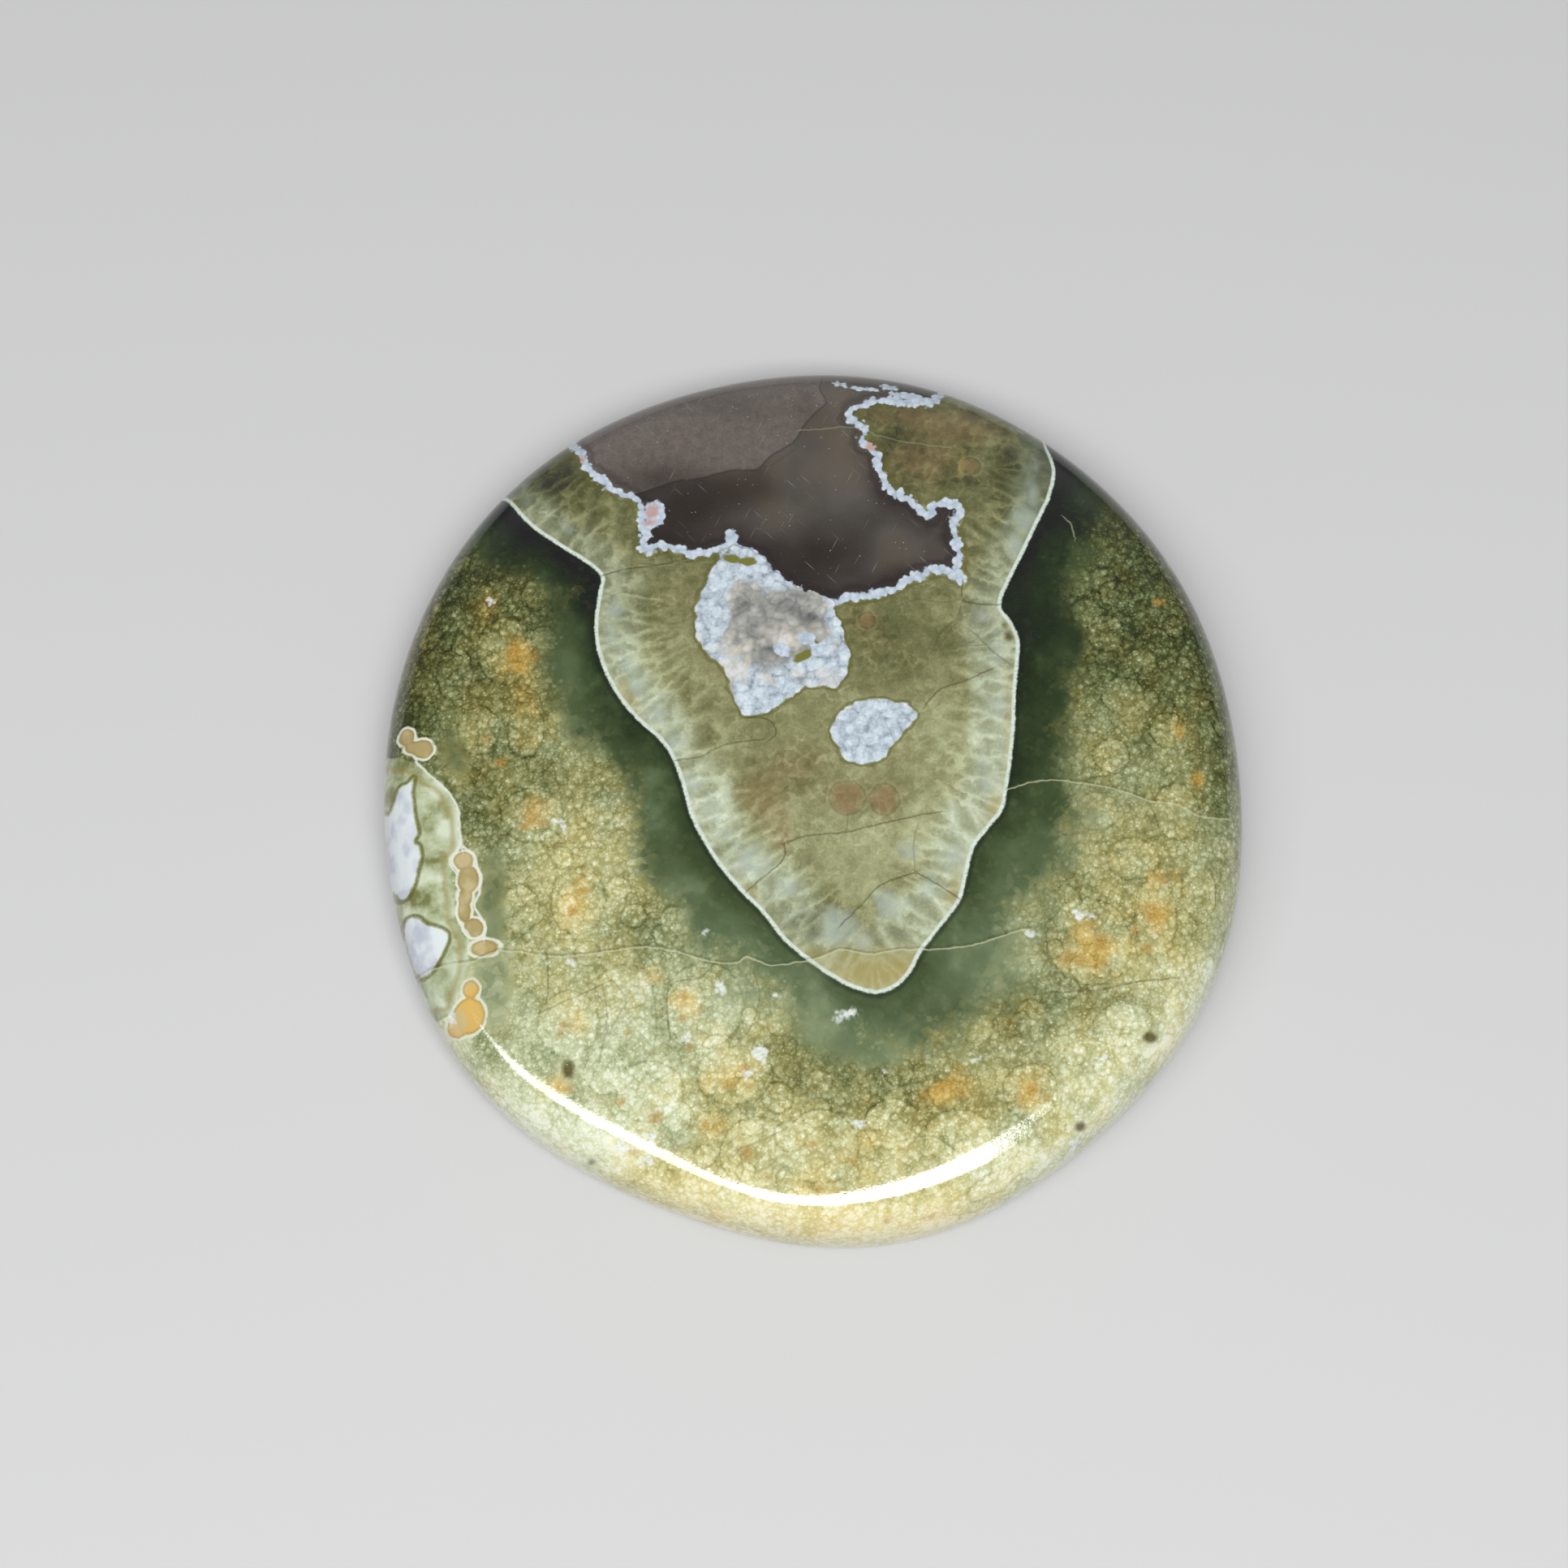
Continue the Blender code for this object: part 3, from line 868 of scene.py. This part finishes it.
class Value:
    """What a node gives, as a number that arithmetic turns into more nodes."""

    def __init__(self, tree, socket):
        self.tree = tree
        self.socket = socket

    def _math(self, operation, *others):
        return new_value(self.tree, "Math", enumerate((self, *others)), operation=operation)

    def __add__(self, other):
        return self._math("ADD", other)

    def __sub__(self, other):
        return self._math("SUBTRACT", other)

    def __mul__(self, other):
        return self._math("MULTIPLY", other)

    def __rsub__(self, other):
        return (self * -1.0) + other

    def __abs__(self):
        return self._math("ABSOLUTE")

    def least(self, other):
        return self._math("MINIMUM", other)

    def most(self, other):
        return self._math("MAXIMUM", other)

    def rise(self, low, high):
        """0 at low and 1 at high, with a smooth step between them."""
        inputs = {
            "Value": self,
            "From Min": min(low, high),
            "From Max": max(low, high),
            "To Min": float(low > high),
            "To Max": float(low <= high),
        }
        return new_value(self.tree, "MapRange", inputs, interpolation_type="SMOOTHSTEP")

    def line(self, half_width, soft):
        """1 where the value is near zero: a line along a border."""
        return abs(self).rise(half_width + soft, half_width - soft)


class Paint:
    """Builds one material's colours from the mesh's fields and some fine textures."""

    def __init__(self, name):
        self.material = bpy.data.materials.new(name)
        self.material.use_nodes = True
        self.tree = self.material.node_tree
        self.fields = {}
        self.place = self.scaled(self.value("TexCoord", {}, "Object"), (1 / MM,) * 3)

    def __getitem__(self, name):
        """The mesh's field of that name."""
        if name not in self.fields:
            self.fields[name] = self.value("Attribute", {}, "Fac", attribute_name=name)
        return self.fields[name]

    def value(self, kind, inputs, output=0, **settings):
        return new_value(self.tree, kind, inputs, output, **settings)

    def scaled(self, vector, scale):
        return self.value("VectorMath", enumerate((vector, scale)), operation="MULTIPLY")

    def moved(self, vector, offset):
        """The vector with an offset, or one number for its three parts, added."""
        return self.value("VectorMath", enumerate((vector, offset)), operation="ADD")

    def noise(self, per_mm, detail):
        """Noise from about -1 to 1."""
        inputs = {"Vector": self.place, "Scale": per_mm, "Detail": detail}
        return (self.value("TexNoise", inputs, "Fac") - 0.5) * 2.4

    def cells(self, per_mm, at, flat=False):
        """Rounded cells: the distance from each one's middle, and two numbers for each."""
        inputs = {"Vector": at, "Scale": per_mm}
        sides = "2D" if flat else "3D"
        distance = self.value("TexVoronoi", inputs, "Distance", voronoi_dimensions=sides)
        colour = Value(self.tree, distance.socket.node.outputs["Color"])
        picks = self.value("SeparateColor", {"Color": colour}).socket.node.outputs
        return distance, Value(self.tree, picks[0]), Value(self.tree, picks[1])

    def seams(self, per_mm, at):
        """How far it is to the nearest border between irregular flat cells."""
        inputs = {"Vector": at, "Scale": per_mm}
        flat_edges = {"feature": "DISTANCE_TO_EDGE", "voronoi_dimensions": "2D"}
        return self.value("TexVoronoi", inputs, "Distance", **flat_edges)

    def mix(self, amount, low, high):
        """From the low to the high colour. A tuple is a screen colour."""
        low, high = (rgb(*tone) if isinstance(tone, tuple) else tone for tone in (low, high))
        return self.value("Mix", {0: amount, 6: low, 7: high}, 2, data_type="RGBA")

    def over(self, colour, *layers):
        """The colour with layers over it, each an amount from 0 to 1 and a colour."""
        for amount, layer in layers:
            colour = self.mix(amount, colour, layer)
        return colour

    def shades(self, value, *stops):
        """A colour for each value, from stops: a value and a screen colour."""
        shade = self.value("ValToRGB", {"Fac": value}, "Color")
        marks = shade.socket.node.color_ramp.elements
        while len(marks) < len(stops):
            marks.new(0.5)
        for mark, (position, *colour) in zip(marks, stops):
            mark.position = position
            mark.color = (*rgb(*colour), 1.0)
        return shade

    def finish(self, inputs):
        """The material, with these inputs of its shader."""
        for name, value in inputs.items():
            connect(self.tree, value, self.tree.nodes["Principled BSDF"].inputs[name])
        return self.material


def on_screen(red, green, blue):
    """The light, from 0 to 1, of a screen colour from 0 to 255."""
    return ((np.array([red, green, blue]) / 255 + 0.055) / 1.055) ** 2.4


def rgb(red, green, blue):
    """The stone's own colour, for it to be seen in the studio as this screen colour."""
    light = on_screen(red, green, blue) - POLISH_SHINE
    return tuple(np.maximum(light, 0.002) / STUDIO_BRIGHTNESS)


# The stone's zones

class Grit:
    """Fine textures that several zones share."""

    def __init__(self, paint):
        self.fray = paint.noise(2.4, 3.0)
        self.sand = paint.noise(8.0, 1.5)
        bent = paint.moved(paint.place, self.fray * 0.09 + self.sand * 0.02)
        self.grain, self.grain_pick, self.grain_shade = paint.cells(3.3, bent)
        self.speck, _, self.speck_shade = paint.cells(7.0, bent)
        self.seam = paint.seams(1.7, paint.moved(paint.place, self.fray * 0.22))


def speckled_ground(paint, grit):
    """The rock outside the wedge: fine pale grains and round orbs in a green ground,
    golden in places, round a dark ring that follows the wedge."""
    tone = paint["tone"]
    dots = grit.grain.rise(0.46, 0.20) * grit.grain_shade.rise(0.1, 1.0) * 0.10
    granules = dots + grit.grain.rise(0.70, 0.36) * 0.085 + (grit.grain_pick - 0.5) * 0.055
    small = grit.speck.rise(0.62, 0.25) * 0.085
    bright = grit.speck.rise(0.42, 0.15) * grit.speck_shade.rise(0.55, 0.95) * 0.12
    relief = granules + small + bright
    fine = grit.sand * 0.05 + grit.fray * 0.04 - 0.118
    beyond = paint["orb"] + grit.fray * 0.05
    orbs = beyond.rise(0.04, -0.05) * 0.065 - (beyond - 0.05).line(0.012, 0.026) * 0.10
    orbs = (orbs + (beyond + 0.04).line(0.010, 0.028) * 0.045) * paint["busy"]
    large = paint["large_orb"] + grit.fray * 0.14
    orbs = orbs + large.rise(-0.10, 0.25) * 0.055 - large.line(0.02, 0.06) * 0.13
    orbs = orbs + (large - 0.16).line(0.03, 0.08) * 0.03
    calm = 1.47 - tone * 0.66
    value = tone + (relief + fine + orbs) * paint["grainy"] * calm
    cool = paint.shades(
        value,
        (0.1, 27, 34, 18), (0.3, 66, 77, 45), (0.45, 105, 115, 76), (0.6, 145, 153, 112),
        (0.75, 185, 192, 152), (0.88, 217, 224, 188), (1.0, 242, 247, 224),
    )
    warm = paint.shades(
        value,
        (0.1, 36, 34, 16), (0.3, 78, 76, 38), (0.45, 118, 114, 64), (0.6, 160, 153, 96),
        (0.75, 200, 192, 132), (0.88, 230, 222, 166), (1.0, 250, 244, 208),
    )
    golden = (paint["warm"] + grit.fray * 0.10 - (relief - 0.12) * 1.6).rise(0.0, 1.15)
    colour = with_orange(paint, grit, paint.mix(golden, cool, warm), value)
    ring = paint["ring"] + (grit.grain_pick - 0.5) * 0.28 + grit.fray * 0.14
    return paint.mix(ring.rise(0.0, 1.0), colour, dark_ring(paint, grit))


def with_orange(paint, grit, colour, value):
    """Rust-stained patches: a warm tint and small rust cores."""
    amount = paint["orange"] + grit.fray * 0.16
    stained = paint.shades(
        value,
        (0.2, 96, 76, 32), (0.45, 158, 128, 60), (0.65, 206, 172, 90),
        (0.85, 232, 206, 130), (1.0, 248, 234, 190),
    )
    core = paint["core"] + grit.fray * 0.16 + (0.5 - grit.grain) * 0.26 + grit.sand * 0.05
    rust = paint.mix(grit.sand.rise(-0.8, 0.8), (142, 104, 46), (204, 164, 84))
    return paint.over(
        colour,
        (amount.rise(0.1, 1.2) * 0.85, stained),
        (core.rise(-0.08, 0.16) * 0.65, rust),
    )


def dark_ring(paint, grit):
    """Deep translucent green with wisps, lighter and bluer towards the tip, the lightening partly
    its own tone and partly painted light from the near side.
    """
    wisps = paint["cloud"]
    near = (wisps * 0.15 - paint["wedge"]).rise(1.6, 0.1)
    # Lighter towards the near side: partly the ring's own tone, partly painted light from the
    # window there
    depth = paint["down"].most(0.0) * 0.50 + wisps * 0.025 + grit.fray * 0.03 + 0.13
    depth = depth + paint["ring_tone"]
    depth = depth + (wisps + grit.fray * 0.5).rise(0.3, 1.3) * 0.06 - near * 0.08
    lost_grains = grit.grain.rise(0.42, 0.12) * grit.grain_shade.rise(0.25, 0.9)
    lost_grains = lost_grains * (paint["grainy"].rise(-0.1, 0.7) * 0.17 + 0.015)
    return paint.shades(
        depth + lost_grains,
        (0.1, 22, 29, 16), (0.2, 40, 51, 29), (0.33, 68, 83, 53), (0.45, 97, 114, 82),
        (0.6, 134, 148, 112),
    )


def wedge_body(paint, grit):
    """The large pale wedge: blue-green lumps and cream beside its border, olive
    further in, with cream strands across the border and a web of cream veins."""
    depth = paint["wedge"]
    mottle = paint["mottle"]
    fibre_place = paint.value("CombineXYZ", {"X": paint["wedge_along"], "Y": depth * 0.42})
    strand = paint.seams(1.35, paint.moved(fibre_place, grit.fray * 0.20))
    edge = (depth - paint["pale"] * 1.8 + grit.fray * 0.35 + mottle * 0.3).rise(2.1, 0.4)
    reach = depth.rise(5.0, 1.5)
    lines = strand.rise(0.24, 0.0) * reach * (grit.fray + mottle * 0.5).rise(-0.9, 0.5)
    web = grit.seam.rise(0.20, 0.0) * (mottle + grit.fray * 0.9).rise(-0.2, 1.1)
    web = web * (paint["brown"] * 0.5 + 0.6)

    tone = paint["wedge_tone"] + edge * 0.10 + grit.speck.rise(0.6, 0.2) * 0.03
    tone = tone + grit.fray * 0.04 + grit.sand * 0.025 + (grit.grain_pick - 0.5) * 0.05
    tone = tone + (grit.fray * 0.09 + (grit.grain_pick - 0.5) * 0.10) * paint["brown"]
    tone = tone + lines.most(web) * 0.11 - strand.rise(0.08, 0.4) * reach * 0.07
    olive = paint.shades(
        tone,
        (0.2, 46, 46, 26), (0.35, 87, 88, 54), (0.45, 113, 114, 76), (0.55, 140, 140, 100),
        (0.65, 166, 168, 126), (0.78, 196, 201, 160), (0.9, 226, 232, 200),
    )
    pale = paint.shades(
        tone,
        (0.45, 112, 124, 104), (0.6, 150, 161, 138), (0.75, 188, 200, 184), (0.9, 218, 232, 222),
    )
    brown = (paint["brown"] + mottle * 0.15 + grit.fray * 0.1).rise(0.15, 1.0)
    brown_round = paint["round"] + grit.fray * 0.10
    blotch = (paint["blotch"] + grit.fray * 0.16) * (lines * -0.5 + 1.0)
    ochre = (paint["ochre"] + grit.fray * 0.25) * (depth - 0.35).line(0.25, 0.3)
    ochre = ((paint["ochre"] - 0.9).most(0.0) + ochre) * (grit.sand * 0.5 + 0.8)
    tip = paint["down"].rise(0.625, 0.65) * (paint["ochre"] * 0.5 + 0.35)
    return paint.over(
        olive,
        (brown * 0.48, (142, 120, 82)),
        (brown_round.rise(-0.10, 0.20) * 0.5, (146, 116, 82)),
        ((brown_round + 0.02).line(0.03, 0.05) * 0.35, (96, 80, 48)),
        ((brown_round + 0.14).line(0.02, 0.06) * 0.2, (196, 190, 148)),
        (edge * 0.45, pale),
        (blotch.rise(0.0, 1.1) * 0.6, (180, 194, 184)),
        (ochre.least(1.0) * 0.7, (176, 154, 80)),
        (tip, (164, 150, 82)),
    )


def scratches(paint):
    """Fine straight polishing scratches, in two directions."""
    total = 0.0
    for angle, offset in ((0.45, 3.0), (-0.8, 11.0)):
        turned = paint.value("VectorRotate", {"Vector": paint.place, "Angle": angle})
        stretched = paint.scaled(turned, (4.6, 0.27, 1.0))
        streak, pick, shade = paint.cells(1.0, paint.moved(stretched, (offset,) * 3), flat=True)
        total = streak.rise(0.13, 0.0) * pick.rise(0.62, 1.0) * shade + total
    return total


def agate_body(paint, grit, colour, depth):
    """Smoky brown-grey agate, with a paler zone, a dark halo inside its border
    and fine polishing scratches."""
    smoke = paint.shades(
        paint["drift"] * 0.35 + paint["cloud"] * 0.15 + grit.sand * 0.05 + 0.5,
        (0.0, 56, 50, 44), (0.5, 76, 71, 66), (1.0, 98, 94, 88),
    )
    halo = (depth + paint["drift"] * 0.2).rise(1.6, 0.3) * paint["down"].rise(-0.16, 0.02)
    zone = paint["agate_pale"] + grit.fray * 0.03
    grey = (grit.fray + grit.sand * 0.8).rise(-1.2, 1.2)
    umber = paint["umber"]
    dust = grit.speck.rise(0.25, 0.08) * grit.speck_shade.rise(0.90, 0.98)
    smoke = paint.over(
        smoke,
        (paint["cloud"].rise(-0.2, 1.0) * 0.4, (84, 70, 52)),
        (halo * 0.7, (52, 44, 46)),
        (zone.rise(-0.02, 0.05), paint.mix(grey, (94, 88, 84), (118, 108, 100))),
        (umber.least(1.0) * 0.85, (46, 38, 31)),
        ((umber * -1.0).least(1.0) * 0.8, (108, 99, 86)),
        ((zone + 0.04).line(0.03, 0.05) * 0.5, (48, 40, 32)),
        (scratches(paint) * 0.7, (160, 153, 144)),
        (dust * 0.8, (196, 192, 186)),
    )
    return paint.mix(depth.rise(-0.02, 0.03), colour, smoke)


def quartz_crust(paint, grit, lobes):
    """Blue-white quartz in small rounded lobes with grey gaps."""
    lump = grit.grain.rise(0.80, 0.35) * 0.20 + lobes.rise(0.55, 0.25) * 0.24 + grit.sand * 0.06
    return paint.shades(
        lump + grit.fray * 0.20 + grit.speck.rise(0.65, 0.3) * 0.12 + 0.14,
        (0.05, 132, 140, 148), (0.25, 172, 184, 194), (0.5, 200, 214, 224), (0.8, 230, 240, 245),
    )


def quartz_body(paint, grit, colour, depth, lobes):
    """White quartz: a blue-white crust of small lobes round a clearer grey heart,
    which fades into the agate, with olive islets."""
    mottle = paint["mottle"]
    clear = mottle * 0.20 + grit.fray * 0.34 - grit.seam.rise(0.22, 0.0) * 0.14
    heart = paint.shades(
        clear - paint["pocket"] * 0.40 + 0.58,
        (0.0, 92, 92, 92), (0.4, 146, 146, 140), (0.65, 178, 176, 168), (0.95, 222, 226, 224),
    )
    down = paint["down"]
    inner = (depth + paint["heart"] + mottle * 0.40 + grit.fray * 0.45).rise(0.65, 1.15)
    warm = down.rise(0.17, 0.22) * down.rise(0.28, 0.26) * (mottle + 0.2).rise(0.0, 0.8)
    white = paint.over(
        quartz_crust(paint, grit, lobes),
        (inner * down.rise(0.26, 0.23) * 0.96, heart),
        (warm * 0.45, (228, 218, 200)),
    )
    rim = (depth + 0.10).line(0.06, 0.06) * paint["agate"].rise(-0.2, -0.5)
    islet = paint["islet"] + grit.fray * 0.09
    return paint.over(
        colour,
        (rim * 0.6, (92, 90, 38)),
        (depth.rise(-0.03, 0.04), white),
        (islet.rise(-0.03, 0.05), (122, 122, 60)),
    )


def pod_body(paint, grit, colour):
    """The pale pod at the left edge, its white patches and its chain of beads."""
    depth = paint["pod"] + grit.fray * 0.05
    mottle = paint["mottle"]
    uneven = mottle + grit.fray * 0.7
    body = paint.shades(
        mottle * 0.36 + grit.fray * 0.36 + grit.sand * 0.12 + 0.5,
        (0.05, 126, 130, 82), (0.5, 182, 192, 154), (0.95, 216, 226, 200),
    )
    ochre = (depth - 0.42 + mottle * 0.1).line(0.12, 0.14)
    body = paint.mix(ochre * 0.6, body, (160, 144, 84))

    white = paint["pod_white"] + grit.fray * 0.07
    rim = (white + 0.10).line(0.08, 0.06) * grit.sand.rise(-1.6, 0.2)
    crust = paint.mix(uneven.rise(-0.8, 0.8), (200, 206, 218), (228, 236, 238))

    bead = paint["bead"] + grit.fray * 0.07
    around = (bead + 0.05).line(0.06, 0.04) * (grit.fray + 0.6).rise(-0.4, 0.6)
    tan = paint.over(
        paint.mix(paint["down"].rise(0.62, 0.70), (178, 162, 112), (220, 184, 104)),
        (uneven.rise(-0.4, 0.9) * 0.7, (206, 192, 148)),
        ((bead - 0.05).line(0.03, 0.08) * 0.5, (140, 112, 62)),
    )
    chain = (paint["white_line"] + grit.fray * 0.09).line(0.05, 0.06) * paint["white_line_near"]
    return paint.over(
        colour,
        (depth.rise(-0.06, 0.06), body),
        (rim * 0.85, (104, 100, 46)),
        (white.rise(0.0, 0.06), crust),
        (around, (226, 230, 208)),
        (bead.rise(-0.02, 0.04), tan),
        (chain, (230, 234, 220)),
    )


def border_lines(paint, grit, colour, wedge, agate, quartz):
    """The white border of the wedge and the blue-white scallops round the agate."""
    cream = paint.mix(grit.sand.rise(-1.0, 0.6), (186, 200, 182), (228, 238, 228))
    clear = quartz.rise(0.1, -0.15)
    knobs = (0.5 - grit.grain) * 0.28 + grit.fray * 0.08
    scallop = (abs(agate) - 0.20 - knobs).rise(0.05, -0.05) * clear
    lump = paint["lump"] + knobs * 0.6
    shine = (knobs * 3.5 + grit.sand * 0.3).rise(-0.6, 0.7)
    pink = (paint["pink"] + grit.fray * 0.5 + grit.sand * 0.3).rise(0.3, 1.2)
    crust = paint.mix(shine, (172, 186, 202), (216, 228, 238))
    crust = paint.mix(pink * 0.7, crust, (196, 134, 112))
    return paint.over(
        colour,
        ((wedge + 0.16).line(0.08, 0.12) * 0.6, (28, 40, 28)),
        ((wedge - 0.04 + grit.sand * 0.03).line(0.085, 0.05), cream),
        ((agate + 0.36).line(0.06, 0.08) * clear * 0.6, (98, 94, 40)),
        ((agate - 0.42).line(0.12, 0.16) * clear * 0.45, (44, 38, 36)),
        (lump.rise(-0.02, 0.06).most(scallop), crust),
    )


def fine_marks(paint, grit, colour):
    """White flecks, dark cracks, pale healed cracks with a painted reflection below them, and
    pits.
    """
    fleck = paint["fleck"] + grit.fray * 0.22 + (0.45 - grit.grain) * 0.25 + grit.sand * 0.04
    white = paint.mix(grit.sand.rise(-0.8, 0.5), (200, 212, 202), (246, 250, 246))
    # Painted reflection: a soft pale green-grey band painted below the long healed cracks
    painted_crack_reflection = paint["painted_crack_reflection"] * paint["cloud"].rise(-0.6, 0.9) * 0.25
    wiggle = grit.fray * 0.07
    healed = paint["healed"] + wiggle
    pale = healed.line(0.035, 0.025) * paint["healed_near"]
    under = (healed - 0.10).line(0.05, 0.05) * paint["healed_near"]
    crack = (paint["crack"] + wiggle).line(0.04, 0.035) * paint["crack_near"]
    broken = (grit.fray + 0.8).rise(-0.3, 0.8)
    pit = paint["pit"] + grit.fray * 0.06
    return paint.over(
        colour,
        (fleck.rise(-0.06, 0.18) * 0.85, white),
        (painted_crack_reflection, (150, 160, 124)),
        (pale * 0.55, (206, 208, 170)),
        (under * 0.35, (60, 64, 40)),
        (crack * broken * 0.65, (76, 72, 46)),
        ((pit + 0.14).line(0.05, 0.09) * 0.35, (206, 206, 168)),
        (pit.rise(-0.12, 0.14) * 0.92, (92, 82, 42)),
    )


def stone_material():
    paint = Paint("rhyolite_polished")
    grit = Grit(paint)
    lobes, _, _ = paint.cells(1.6, paint.moved(paint.place, grit.fray * 0.12), flat=True)
    wedge = paint["wedge"] + grit.fray * 0.035
    agate = paint["agate"] + (lobes - 0.45) * 0.24 + grit.fray * 0.07
    quartz = paint["quartz"] - (lobes - 0.45) * 0.22 + grit.fray * 0.08
    quartz = quartz + agate.rise(-0.45, -0.1) * agate.rise(0.3, 0.0) * 0.16

    colour = pod_body(paint, grit, speckled_ground(paint, grit))
    colour = paint.mix(wedge.rise(-0.02, 0.02), colour, wedge_body(paint, grit))
    colour = agate_body(paint, grit, colour, agate)
    colour = quartz_body(paint, grit, colour, quartz, lobes)
    colour = border_lines(paint, grit, colour, wedge, agate, quartz)
    colour = fine_marks(paint, grit, colour)
    rough = paint["back"] * (BACK_ROUGHNESS - TOP_ROUGHNESS) + TOP_ROUGHNESS
    polish = paint.value("Bump", {"Height": grit.sand, "Distance": POLISH_GRAIN * MM})
    return paint.finish({
        "Base Color": colour, "Roughness": rough, "Normal": polish, "IOR": STONE_IOR,
    })


# Floor, light and the whole scene

def make_floor():
    mesh = bpy.data.meshes.new("floor")
    square = ((-1, -1), (1, -1), (1, 1), (-1, 1))
    corners = [(x * FLOOR_REACH, y * FLOOR_REACH, 0) for x, y in square]
    mesh.from_pydata(corners, [], [(0, 1, 2, 3)])
    floor = bpy.data.objects.new("floor", mesh)
    bpy.context.scene.collection.objects.link(floor)
    grey = tuple(on_screen(*FLOOR_COLOUR) / STUDIO_BRIGHTNESS)
    look = {"Base Color": grey, "Roughness": FLOOR_ROUGHNESS}
    mesh.materials.append(Paint("floor").finish(look))


def make_lights():
    """A long soft window before the stone, narrower on its left, and a dim room
    that is a little lighter behind the stone."""
    for name, left, right, near, far, glow in WINDOW_PANES:
        pane = bpy.data.lights.new(name, "AREA")
        pane.shape = "RECTANGLE"
        pane.size = (right - left) * WINDOW_HEIGHT
        pane.size_y = (far - near) * WINDOW_HEIGHT
        pane.energy = glow * math.pi * pane.size * pane.size_y
        light = bpy.data.objects.new(name, pane)
        light.location = Vector(((left + right) / 2, (near + far) / 2, 1)) * WINDOW_HEIGHT
        bpy.context.scene.collection.objects.link(light)
    world = bpy.data.worlds.new("studio")
    bpy.context.scene.world = world
    world.use_nodes = True
    tree = world.node_tree
    backdrop = tree.nodes["Background"]
    backdrop.inputs["Color"].default_value = ROOM_COLOUR
    ways = (new_value(tree, "TexCoord", {}, "Generated"), ROOM_LIGHTER_TOWARDS)
    cosine = new_value(tree, "VectorMath", enumerate(ways), "Value", operation="DOT_PRODUCT")
    glow = cosine.rise(ROOM_LIGHTER_FROM, 1.0) * ROOM_EXTRA + ROOM_GLOW
    connect(tree, glow, backdrop.inputs["Strength"])


def make_stone():
    mesh, pattern, places = stone_mesh()
    for name, values in pattern_fields(pattern, places).items():
        field = mesh.attributes.new(name, "FLOAT", "POINT")
        field.data.foreach_set("value", values.astype(np.float32))
    mesh.materials.append(stone_material())
    stone = bpy.data.objects.new("cabochon_stone", mesh)
    bpy.context.scene.collection.objects.link(stone)
    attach(stone, "root")
    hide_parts("cabochon")


make_camera()
make_stone()
make_floor()
make_lights()
bpy.context.scene.view_settings.view_transform = "Standard"
